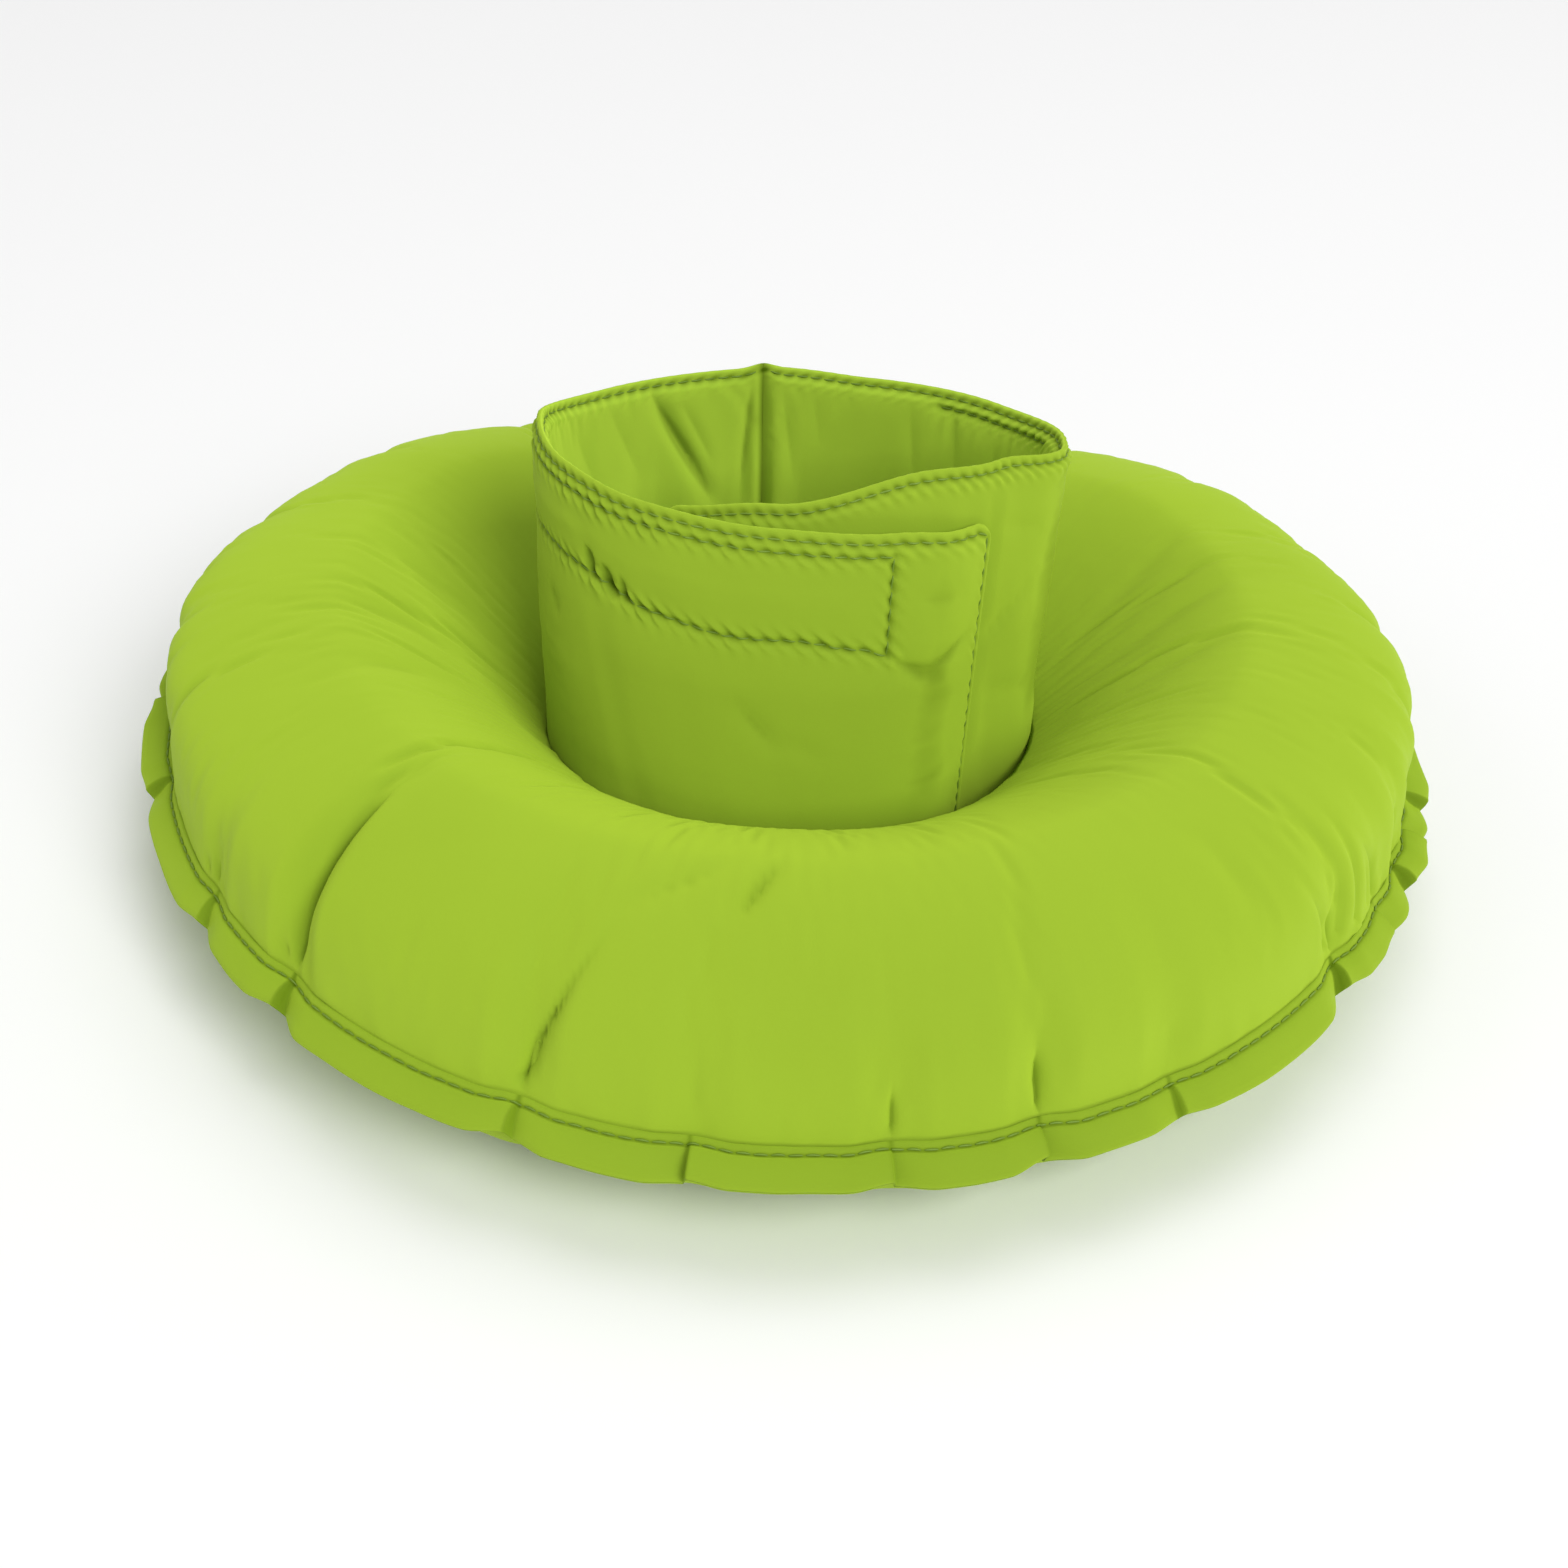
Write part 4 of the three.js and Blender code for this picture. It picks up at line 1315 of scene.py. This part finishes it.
    def half_wall(self, angle: Array, height: Array) -> Array:
        """Half of the wall's thickness, rounded off at its edges."""
        to_rim = np.maximum(self.rim(angle) - height, 0.0)
        to_foot = np.maximum(height - self.shape.foot_height, 0.0)
        rounded = np.ones(np.broadcast(angle, height).shape)
        for distance in (to_rim, to_foot, self.free_distance(angle)):
            inside = np.clip(distance / self.edge_round, 0.0, 1.0)
            rounded = rounded * np.sqrt(1 - (1 - inside) ** 2)
        to_edge = np.minimum(to_rim, self.free_distance(angle))
        pinch = 1 - ease(self.stitch_margin * 0.5, self.stitch_margin * 2, to_edge)
        rounded = rounded * (1 - self.hem_pinch * pinch)
        dent = self.seam_dent * np.exp(-((self.sewn_distance(angle) / 1.3) ** 2))
        return self.shape.wall / 2 * rounded * (1 - dent)

    def face(self, angle: Array, height: Array, side: Side) -> Array:
        """Point on one face of the panel.

        Args:
            angle: Angles round the sleeve.
            height: Heights above the floor.
            side: Which face is meant.

        Returns:
            The points.
        """
        half = self.half_wall(angle, height)
        thick = half / (self.shape.wall / 2)
        padding = 0.0
        if side is Side.OUTER:
            padding = self.puff * ease(1.5, 9.0, self.line_distance(angle, height, side))
        raised = half + thick * (padding - self.relief(angle, height, side))
        return self.shape.point(angle, height, self.offset(angle) + self.shape.wall / 2 + side.value * raised)

    def stations(self) -> Array:
        """Angles across the panel, close together at its ends."""
        inner = np.arange(self.start, self.end, self.station_step)
        steps = self.edge_round * (1 - np.cos(np.linspace(0, math.pi / 2, 6)))
        turns = np.array([self.shape.as_turn(step) for step in steps])
        margin = self.shape.as_turn(self.edge_round) + 0.2
        inner = inner[(inner > self.start + margin) & (inner < self.end - margin)]
        return np.concatenate([self.start + turns, inner, (self.end - turns)[::-1]])

    def heights(self, angle: Array) -> Array:
        """Heights from foot to rim for each angle, close together at the edges and stitch lines."""
        edge = self.edge_round * (1 - np.cos(np.linspace(0, math.pi / 2, 5)))
        upper = np.concatenate([edge, np.arange(1.2, 5.6, 0.3)])
        rim = self.rim(angle)
        band = self.lower_line(angle)
        middle = np.linspace(0.0, 1.0, 15)[None, 1:-1]
        between = upper[-1] + (band - self.band_reach - upper[-1]) * middle
        near = np.arange(-self.band_reach, self.band_reach + 0.1, 0.32)
        below = np.concatenate([upper + 0 * rim, between, band + near], axis=1)
        foot = self.shape.foot_height
        share = np.linspace(0.0, 1.0, 38)[None, 1:-1]
        lower = foot + edge[-1] + (rim - below[:, -1:] - foot - edge[-1]) * share
        return np.concatenate([foot + edge[None] + 0 * rim, lower, rim - below[:, ::-1]], axis=1)

    def lower_line(self, angle: Array) -> Array:
        """Distance below the rim round which the rows of points are close together again."""
        return self.lower_band + 0 * angle

    def build(self, name: str) -> bpy.types.Object:
        """Make the panel as one closed piece."""
        self.simulate()
        angle = self.stations()[:, None]
        height = self.heights(angle)
        outside = self.face(angle, height, Side.OUTER)
        inside = self.face(angle, height, Side.INNER)
        points = np.concatenate([outside, inside[:, -2:0:-1]], axis=1)
        # Painted shade: the crease mark darkens the panel along its stitch lines, in dashes that follow the
        # stitches, where the face sinks in, and at its sewn end.
        shades = []
        for side in (Side.OUTER, Side.INNER):
            distance = self.line_distance(angle, height, side)
            painted_valley_shade = np.clip(-self.rise(angle, height, side) / 1.5, 0.0, 0.5)
            beat = 0.6 + 0.4 * self.stitch_beat(angle, height)
            seam = 0.7 * np.exp(-((self.sewn_distance(angle) / 0.7) ** 2))
            shades.append(np.exp(-((distance / 0.6) ** 2)) * beat + painted_valley_shade + seam)
        shade = np.concatenate([shades[0], shades[1][:, -2:0:-1]], axis=1)
        # Painted light: the inner face is marked so that its finish paints it lighter than the outer face.
        painted_inner_light = np.zeros(points.shape[:2])
        painted_inner_light[:, outside.shape[1]:] = 1.0
        return MeshMaker.from_grid(name, Grid(points, {"crease": shade, "painted_inner_light": painted_inner_light}))


@dataclass
class FlapPanel(SleevePanel):
    """The left panel, whose free end is the outer flap with the hook tape sewn behind it."""

    tape_start: float = HOOK_TAPE_ENDS[0]
    tape_end: float = HOOK_TAPE_ENDS[1]
    line_drop: float = 3.5
    inner_hold: tuple[float, float] = (174.0, 180.0)

    def room(self, angle: Array, height: Array, side: Side) -> Array:
        """The inner face is held by the tape and the underlap."""
        free = super().room(angle, height, side)
        return free * (1 - ease(*self.inner_hold, angle)) if side is Side.INNER else free

    def offset(self, angle: Array) -> Array:
        """The flap lies down on the underlap past the tapes."""
        reach = self.shape.underlap_depth - self.shape.wall - self.shape.clearance
        end = self.shape.flap_end - self.shape.as_turn(self.shape.hem) / 2
        return reach * ease(self.shape.flap_tuck, end, angle)

    def tape_top(self, angle: Array) -> Array:
        """Height of the stitched rectangle's upper line."""
        return self.rim(angle) - self.line_drop

    def tape_foot(self, angle: Array) -> Array:
        """Height of its lower line, which is nearer to the upper one at the side than at its end."""
        return self.tape_top(angle) - along_rows(TAPE_LINE_ROWS, "reach", angle)

    def lower_line(self, angle: Array) -> Array:
        """The rows of points are close together at the rectangle's lower line."""
        return self.rim(angle) - self.tape_foot(angle)

    def line_distance(self, angle: Array, height: Array, side: Side) -> Array:
        """Distance to the nearest stitch line, with the tape's rectangle."""
        nearest = super().line_distance(angle, height, side)
        over = self.shape.as_distance(np.maximum(self.tape_start - angle, angle - self.tape_end))
        beyond = np.maximum(over, 0.0)
        for line in (self.tape_top(angle), self.tape_foot(angle)):
            nearest = np.minimum(nearest, np.hypot(height - line, beyond))
        up_past = np.maximum(height - self.tape_top(angle), self.tape_foot(angle) - height)
        for end in (self.tape_start, self.tape_end):
            beside = self.shape.as_distance(np.abs(angle - end))
            nearest = np.minimum(nearest, np.hypot(beside, np.maximum(up_past, 0.0)))
        return nearest

    def lines(self, side: Side) -> list[StitchLine]:
        """The hems' stitches, and the rectangle's on the outer side."""
        rows = super().lines(side)
        if side is Side.OUTER:
            angles = np.linspace(self.tape_start, self.tape_end, 300)
            rows.append(StitchLine(side, angles, self.tape_top(angles)))
            rows.append(StitchLine(side, angles, self.tape_foot(angles)))
            for end in (self.tape_start, self.tape_end):
                place = np.array([end])
                heights = np.linspace(self.tape_foot(place)[0], self.tape_top(place)[0], 60)
                rows.append(StitchLine(side, np.full(60, end), heights))
        return rows


@dataclass
class UnderlapPanel(SleevePanel):
    """The right panel, which moves in behind the flap; one patch is stitched to its back."""

    patch_start: float = 14.0
    patch_end: float = 56.0
    line_drop: float = 3.8
    outer_hold: tuple[float, float] = (-40.0, -34.0)

    def room(self, angle: Array, height: Array, side: Side) -> Array:
        """The outer face is held where the flap lies on it."""
        free = super().room(angle, height, side)
        return free * ease(*self.outer_hold, angle) if side is Side.OUTER else free

    def offset(self, angle: Array) -> Array:
        """The panel runs at the sleeve's face and goes inside the flap at the front."""
        return self.shape.underlap_depth * ease(-self.shape.lap_start, -self.shape.lap_full, -angle)

    def patch_top(self, angle: Array) -> Array:
        """Height of the upper line of the stitches that show inside."""
        return self.rim(angle) - self.line_drop

    def line_distance(self, angle: Array, height: Array, side: Side) -> Array:
        """Distance to the nearest stitch line, with the patch's upper line on the inner side."""
        nearest = super().line_distance(angle, height, side)
        if side is Side.OUTER:
            return nearest
        over = self.shape.as_distance(np.maximum(self.patch_start - angle, angle - self.patch_end))
        top = np.hypot(height - self.patch_top(angle), np.maximum(over, 0.0))
        return np.minimum(nearest, top)

    def lines(self, side: Side) -> list[StitchLine]:
        """The hems' stitches, and the patch's on the inner side."""
        rows = super().lines(side)
        if side is Side.INNER:
            angles = np.linspace(self.patch_start, self.patch_end, 160)
            rows.append(StitchLine(side, angles, self.patch_top(angles)))
        return rows


@dataclass
class Tape:
    """A strip of hook or loop tape sewn to a sleeve panel."""

    shape: SleeveShape
    ends: tuple[float, float]
    depth: float
    pile: float
    seed: int
    edge_round: float = 0.6
    rows: int = 150
    columns: int = 30

    def build(self, name: str) -> bpy.types.Object:
        """Make the strip with soft edges."""
        start, end = self.ends
        angle = np.linspace(start, end, self.rows)[:, None]
        top = self.shape.rim(LEFT_RIM, np.mod(angle, FULL_TURN)) - self.shape.tape_drop
        share = np.linspace(0.0, 1.0, self.columns)[None, :]
        height = top - self.shape.tape_width * (1 - share)
        to_side = np.minimum(share, 1 - share) * self.shape.tape_width
        to_end = self.shape.as_distance(np.minimum(angle - start, end - angle))
        inside = np.clip(np.minimum(to_side, to_end) / self.edge_round, 0.0, 1.0)
        half = self.shape.tape_thickness / 2 * np.sqrt(1 - (1 - inside) ** 2)
        grain = self.pile * np.random.default_rng(self.seed).uniform(-1.0, 1.0, half.shape)
        middle = self.depth + self.shape.tape_thickness / 2
        outer = self.shape.point(angle, height, middle - half)
        inner = self.shape.point(angle, height, middle + half * (1 - np.abs(grain)))
        points = np.concatenate([outer, inner[:, -2:0:-1]], axis=1)
        return MeshMaker.from_grid(name, Grid(points, {}))


@dataclass
class Thread:
    """Sewing thread: short rounded stitches laid along lines on the fabric."""

    radius: float = 0.2
    length: float = 2.1
    gap: float = 0.6
    sides: int = 6
    rings: int = 6

    def stitches(self, points: Array, up: Array) -> tuple[Array, Array]:
        """Vertices and faces of the stitches along one line.

        Args:
            points: Points along the line, close together.
            up: Direction away from the fabric at each of them.

        Returns:
            Vertices and quads of all stitches of the line.
        """
        steps = np.linalg.norm(np.diff(points, axis=0), axis=1)
        place = np.concatenate([[0.0], np.cumsum(steps)])
        count = max(1, int(place[-1] / (self.length + self.gap)))
        pitch = place[-1] / count
        length = pitch - self.gap
        share = np.linspace(0.0, 1.0, self.rings)
        at = (np.arange(count)[:, None] * pitch + self.gap / 2 + length * share[None, :]).ravel()
        centre = self.look_along(points, place, at)
        normal = self.look_along(up, place, at)
        normal /= np.linalg.norm(normal, axis=1, keepdims=True)
        forward = self.look_along(np.gradient(points, axis=0), place, at)
        forward /= np.linalg.norm(forward, axis=1, keepdims=True)
        across = np.cross(forward, normal)
        lift = np.tile(np.sin(math.pi * share) * 0.5, count)[:, None] * self.radius
        centre = centre + normal * lift
        width = np.tile(np.sin(math.pi * (0.06 + 0.88 * share)) ** 0.4, count)[:, None] * self.radius
        turn = np.linspace(0.0, 2 * math.pi, self.sides, endpoint=False)[None, :, None]
        ring = across[:, None] * np.cos(turn) + normal[:, None] * np.sin(turn)
        vertices = (centre[:, None] + ring * width[:, None]).reshape(-1, 3)
        first = MeshMaker.faces(self.rings, self.sides, False)
        faces = [first + stitch * self.rings * self.sides for stitch in range(count)]
        return vertices, np.concatenate(faces)

    @staticmethod
    def look_along(rows: Array, place: Array, at: Array) -> Array:
        """Look up vectors between the places along a line to which they belong."""
        return np.stack([np.interp(at, place, column) for column in rows.T], axis=1)

    def sew(self, name: str, lines: Sequence[tuple[Array, Array]]) -> bpy.types.Object:
        """Make one piece of all stitches along some lines."""
        vertices = []
        faces = []
        total = 0
        for points, up in lines:
            some, quads = self.stitches(points, up)
            vertices.append(some)
            faces.append(quads + total)
            total += len(some)
        return MeshMaker.make(name, np.concatenate(vertices), np.concatenate(faces), {})


class Value:
    """A socket of a shader, on which Python's operators add Math nodes."""

    def __init__(self, shader: "Shader", socket: bpy.types.NodeSocket | float) -> None:
        """Wrap a socket or a number of a shader."""
        self.shader = shader
        self.socket = socket

    def math(self, operation: str, first: "Value | float", second: "Value | float") -> "Value":
        """Add a Math node."""
        return self.shader.node("ShaderNodeMath", {"operation": operation}, {0: first, 1: second})

    def __add__(self, other: "Value | float") -> "Value":
        """Sum with a value on the right."""
        return self.math("ADD", self, other)

    def __radd__(self, other: float) -> "Value":
        """Sum with a number on the left."""
        return self.math("ADD", other, self)

    def __sub__(self, other: "Value | float") -> "Value":
        """Difference from a value on the right."""
        return self.math("SUBTRACT", self, other)

    def __rsub__(self, other: float) -> "Value":
        """Difference from a number on the left."""
        return self.math("SUBTRACT", other, self)

    def __mul__(self, other: "Value | float") -> "Value":
        """Product with a value on the right."""
        return self.math("MULTIPLY", self, other)

    def __rmul__(self, other: float) -> "Value":
        """Product with a number on the left."""
        return self.math("MULTIPLY", other, self)


class Shader:
    """A material whose nodes are made from Python expressions."""

    def __init__(self, name: str) -> None:
        """Start an empty material."""
        self.material = bpy.data.materials.new(name)
        self.material.use_nodes = True
        self.tree = self.material.node_tree
        self.tree.nodes.clear()

    def node(self, kind: str, settings: dict, sockets: dict, output: int | str = 0) -> Value:
        """Add a node.

        Args:
            kind: Type of the node.
            settings: Properties of the node, which are set first.
            sockets: Values or links of its inputs, by name or number.
            output: Name or number of the output that is wanted.

        Returns:
            That output.
        """
        made = self.tree.nodes.new(kind)
        for name, setting in settings.items():
            setattr(made, name, setting)
        for key, value in sockets.items():
            if isinstance(value, Value):
                self.tree.links.new(value.socket, made.inputs[key])
            else:
                made.inputs[key].default_value = value
        return Value(self, made.outputs[output] if made.outputs else 0.0)

    def place(self) -> Value:
        """Place on the object, in metres."""
        return self.node("ShaderNodeTexCoord", {}, {}, "Object")

    def noise(self, scale: float, detail: float = 2.0) -> Value:
        """Noise from 0 to 1 over the object."""
        return self.node("ShaderNodeTexNoise", {}, {"Vector": self.place(), "Scale": scale, "Detail": detail})

    def attribute(self, name: str) -> Value:
        """Number stored on the mesh."""
        return self.node("ShaderNodeAttribute", {"attribute_name": name}, {}, "Fac")

    def mix(self, share: Value, first: "Value | tuple", second: "Value | tuple") -> Value:
        """Mix two colours."""
        colours = [colour if isinstance(colour, Value) else (*colour, 1.0) for colour in (first, second)]
        sockets = {0: share, 6: colours[0], 7: colours[1]}
        return self.node("ShaderNodeMix", {"data_type": "RGBA", "clamp_factor": True}, sockets, 2)

    def bump(self, height: Value, strength: float, distance: float) -> Value:
        """Normal of a bumpy surface."""
        sockets = {"Height": height, "Strength": strength, "Distance": distance}
        return self.node("ShaderNodeBump", {}, sockets, "Normal")

    def finish(self, **sockets: "Value | float | tuple") -> bpy.types.Material:
        """Add the surface shader with its sockets and return the material."""
        named = {}
        for name, value in sockets.items():
            named[name.replace("_", " ").title().replace("Ior", "IOR")] = value
        surface = self.node("ShaderNodeBsdfPrincipled", {}, named)
        self.node("ShaderNodeOutputMaterial", {}, {"Surface": surface})
        return self.material


@dataclass(frozen=True)
class SatinFabric:
    """Soft polyester with a low sheen and a fine weave, with painted shade in its creases, grooves and seams
    and painted light on the sleeve's inner face.
    """

    name: str
    colour: tuple[float, float, float]
    painted_shade_colour: tuple[float, float, float]
    painted_inner_light_colour: tuple[float, float, float]
    roughness: float = 0.62
    diffuse_roughness: float = 0.9
    specular: float = 0.04
    sheen: float = 0.03
    sheen_tint: tuple[float, float, float, float] = (0.55, 0.8, 0.1, 1.0)
    weave: float = 2600.0
    bump_height: float = 0.0011

    def material(self) -> bpy.types.Material:
        """Make the material."""
        shader = Shader(self.name)
        blotch = shader.noise(22.0, 3.0)
        grain = shader.noise(self.weave, 1.0)
        crumple = shader.noise(70.0, 4.0)
        # Painted shade: the crease mark darkens the colour towards the painted shade colour in creases,
        # grooves and seams; the blotch noise adds random tone.
        shade = shader.attribute("crease") * 0.8 + (blotch - 0.5) * 0.25
        # Painted light: the marked inner face takes a lighter copy of the fabric's colour.
        cloth = shader.mix(shader.attribute("painted_inner_light"), self.colour, self.painted_inner_light_colour)
        return shader.finish(
            base_color=shader.mix(shade, cloth, self.painted_shade_colour),
            roughness=self.roughness + (blotch - 0.5) * 0.16 + (grain - 0.5) * 0.08,
            diffuse_roughness=self.diffuse_roughness,
            normal=shader.bump(crumple * 0.35 + grain * 0.04, 0.35, self.bump_height),
            sheen_weight=self.sheen,
            sheen_roughness=0.4,
            sheen_tint=self.sheen_tint,
            specular_ior_level=self.specular,
        )


@dataclass(frozen=True)
class TapeFinish:
    """Hook or loop pile: rough and matt, with a fine bump."""

    name: str
    colour: tuple[float, float, float]
    pitch: float

    def material(self) -> bpy.types.Material:
        """Make the material."""
        shader = Shader(self.name)
        sockets = {"Vector": shader.place(), "Scale": self.pitch}
        pile = shader.node("ShaderNodeTexVoronoi", {}, sockets, "Distance")
        dark = tuple(part * 0.55 for part in self.colour)
        return shader.finish(
            base_color=shader.mix(pile, self.colour, dark),
            roughness=0.95 - pile * 0.15,
            normal=shader.bump(1 - pile, 0.8, 0.0006),
            sheen_weight=0.4,
        )


@dataclass(frozen=True)
class PlainFinish:
    """A plain matt finish with a little variation, for thread and floor."""

    name: str
    colour: tuple[float, float, float]
    roughness: float
    scale: float = 300.0

    def material(self) -> bpy.types.Material:
        """Make the material."""
        shader = Shader(self.name)
        roughness = self.roughness + (shader.noise(self.scale) - 0.5) * 0.1
        return shader.finish(base_color=(*self.colour, 1.0), roughness=roughness)


@dataclass
class Collar:
    """The whole collar: ring cushion, neck sleeve, tapes and thread."""

    ring: RingShape
    sleeve: SleeveShape
    # The second colour of each fabric is painted shade for its creases, grooves and seams.
    ring_fabric: SatinFabric = SatinFabric("ring_satin", (0.355, 0.515, 0.034), (0.15, 0.25, 0.008),
                                           (0.355, 0.515, 0.034))
    # The sleeve's third colour, lighter than its first, is painted light on its inner face.
    sleeve_fabric: SatinFabric = SatinFabric("sleeve_satin", (0.34, 0.495, 0.034), (0.11, 0.19, 0.005),
                                             (0.46, 0.65, 0.055))
    hook_finish: TapeFinish = TapeFinish("hook_pile", (0.27, 0.42, 0.05), 900.0)
    loop_finish: TapeFinish = TapeFinish("loop_pile", (0.29, 0.43, 0.06), 1400.0)
    # The thread's dark green is painted shade of the stitch grooves, darker than the fabric that it is sewn
    # into.
    thread_finish: PlainFinish = PlainFinish("painted_shade_thread", (0.17, 0.28, 0.02), 0.6)
    thread: Thread = field(default_factory=Thread)

    @classmethod
    def from_frame(cls) -> "Collar":
        """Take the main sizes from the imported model."""
        crest = max(row.crest for row in RING_ROWS)
        ring = RingShape(ring_height=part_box("ring_top_panel")[1][2] / MM / (1 + crest))
        sleeve = SleeveShape(foot_height=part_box("sleeve_left_panel")[0][2] / MM)
        return cls(ring, sleeve)

    def place(self, piece: bpy.types.Object, material: bpy.types.Material, slot: str,
              *nodes: str) -> bpy.types.Object:
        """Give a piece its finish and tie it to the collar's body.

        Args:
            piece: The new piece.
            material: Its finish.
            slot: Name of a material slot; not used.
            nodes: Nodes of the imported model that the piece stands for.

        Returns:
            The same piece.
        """
        piece.data.materials.append(material)
        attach(piece, BODY)
        if nodes:
            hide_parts(*nodes)
        LOG.info("%s: %d faces", piece.name, len(piece.data.polygons))
        return piece

    def build_ring(self, fabric: bpy.types.Material, thread: bpy.types.Material) -> None:
        """Make both panels of the cushion and the thread of their seam."""
        top = RingCover(self.ring, Layer.TOP)
        bottom = RingCover(self.ring, Layer.BOTTOM)
        for cover, name, replaced in ((top, "ring_top_cover", "ring_top_panel"),
                                      (bottom, "ring_bottom_cover", "ring_bottom_panel")):
            piece = self.place(cover.build(name), fabric, "ring_fabric", replaced)
        seam = self.thread.sew("ring_seam_thread", [top.stitch_path(), bottom.stitch_path()])
        self.place(seam, thread, "ring_fabric")

    def build_sleeve(self, fabric: bpy.types.Material, thread: bpy.types.Material) -> None:
        """Make both padded panels of the sleeve and their stitching."""
        gap = self.sleeve.as_turn(0.02)
        flap = FlapPanel(
            self.sleeve, start=self.sleeve.back_seam + gap, end=self.sleeve.flap_end, rim_rows=LEFT_RIM,
            start_is_free=False, end_is_free=True, creases=FLAP_CREASES, seed=51)
        underlap = UnderlapPanel(
            self.sleeve, start=self.sleeve.underlap_end, end=self.sleeve.back_seam - gap, rim_rows=RIGHT_RIM,
            start_is_free=True, end_is_free=False, creases=UNDERLAP_CREASES, seed=61)
        for panel, name, replaced in ((flap, "sleeve_left_cover", "sleeve_left_panel"),
                                      (underlap, "sleeve_right_cover", "sleeve_right_panel")):
            piece = self.place(panel.build(name), fabric, "sleeve_fabric", replaced)
            sewn = self.thread.sew(name.replace("cover", "thread"), self.stitch_paths(panel))
            self.place(sewn, thread, "sleeve_fabric")

    def stitch_paths(self, panel: SleevePanel) -> list[tuple[Array, Array]]:
        """Points and outward directions along every stitch line of a panel."""
        paths = []
        for side in Side:
            for line in panel.lines(side):
                points = panel.face(line.angles, line.heights, side)
                depth = panel.offset(line.angles) + self.sleeve.wall / 2
                behind = self.sleeve.point(line.angles, line.heights, depth)
                paths.append((points, points - behind))
        return paths

    def build_tapes(self) -> None:
        """Make the hook tape behind the flap and the loop tape on the underlap."""
        hook = Tape(self.sleeve, HOOK_TAPE_ENDS, self.sleeve.hook_depth, pile=0.5, seed=71)
        loop = Tape(self.sleeve, LOOP_TAPE_ENDS, self.sleeve.loop_depth, pile=0.3, seed=72)
        self.place(hook.build("hook_tape_strip"), self.hook_finish.material(), "hook_tape", "hook_tape")
        self.place(loop.build("loop_tape_strip"), self.loop_finish.material(), "loop_tape", "loop_tape")

    def build(self) -> None:
        """Make the whole collar."""
        thread = self.thread_finish.material()
        self.build_ring(self.ring_fabric.material(), thread)
        self.build_sleeve(self.sleeve_fabric.material(), thread)
        self.build_tapes()


@dataclass
class Studio:
    """Pale floor, soft light and a camera at the photograph's viewing angle."""

    eye: tuple[float, float, float] = (0.0, -0.3525, 0.2605)
    target: tuple[float, float, float] = (-0.0004, 0.0, 0.0064)
    roll: float = 2.67
    lens: float = 49.2
    world_strength: float = 0.42
    floor_size: float = 6.0
    floor_finish: PlainFinish = PlainFinish("pale_floor", (0.93, 0.93, 0.93), 0.8, 5.0)

    def camera(self) -> None:
        """Place the camera."""
        data = bpy.data.cameras.new("camera")
        data.lens = self.lens
        data.sensor_width = 36.0
        data.clip_start = 0.01
        camera = bpy.data.objects.new("camera", data)
        ahead = (Vector(self.target) - Vector(self.eye)).to_track_quat("-Z", "Y").to_matrix().to_4x4()
        roll = Matrix.Rotation(math.radians(self.roll), 4, "Z")
        camera.matrix_world = Matrix.Translation(self.eye) @ ahead @ roll
        bpy.context.scene.collection.objects.link(camera)
        bpy.context.scene.camera = camera

    def light(self, name: str, place: tuple[float, float, float], size: float, watts: float) -> None:
        """Add a square area light that looks at the collar.

        Args:
            name: Name of the light.
            place: Where it stands, in metres.
            size: Length of its sides.
            watts: Its power.
        """
        data = bpy.data.lights.new(name, "AREA")
        data.size = size
        data.energy = watts
        lamp = bpy.data.objects.new(name, data)
        lamp.location = place
        lamp.rotation_euler = (Vector(self.target) - Vector(place)).to_track_quat("-Z", "Y").to_euler()
        bpy.context.scene.collection.objects.link(lamp)

    def floor(self) -> None:
        """Add the floor that the collar rests on."""
        half = self.floor_size / 2
        corners = [(-half, -half, 0.0), (half, -half, 0.0), (half, half, 0.0), (-half, half, 0.0)]
        mesh = bpy.data.meshes.new("floor")
        mesh.from_pydata(corners, [], [(0, 1, 2, 3)])
        ground = bpy.data.objects.new("floor", mesh)
        ground.data.materials.append(self.floor_finish.material())
        bpy.context.scene.collection.objects.link(ground)

    def build(self) -> None:
        """Set up camera, light, floor and surroundings."""
        self.camera()
        self.floor()
        self.light("key_light", (1.2, -1.9, 1.9), 1.6, 55.0)
        self.light("top_light", (0.3, 0.8, 3.0), 2.4, 30.0)
        self.light("left_light", (-2.6, -0.9, 1.7), 2.0, 10.0)
        world = bpy.data.worlds.new("studio")
        world.use_nodes = True
        sky = world.node_tree.nodes["Background"]
        sky.inputs["Color"].default_value = (1.0, 1.0, 1.0, 1.0)
        sky.inputs["Strength"].default_value = self.world_strength
        bpy.context.scene.world = world
        bpy.context.scene.view_settings.view_transform = "Standard"


def main() -> None:
    """Build the collar in its studio."""
    logging.basicConfig(level=logging.INFO, format="%(name)s: %(message)s")
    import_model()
    Studio().build()
    Collar.from_frame().build()


if __name__ == "__main__":
    main()
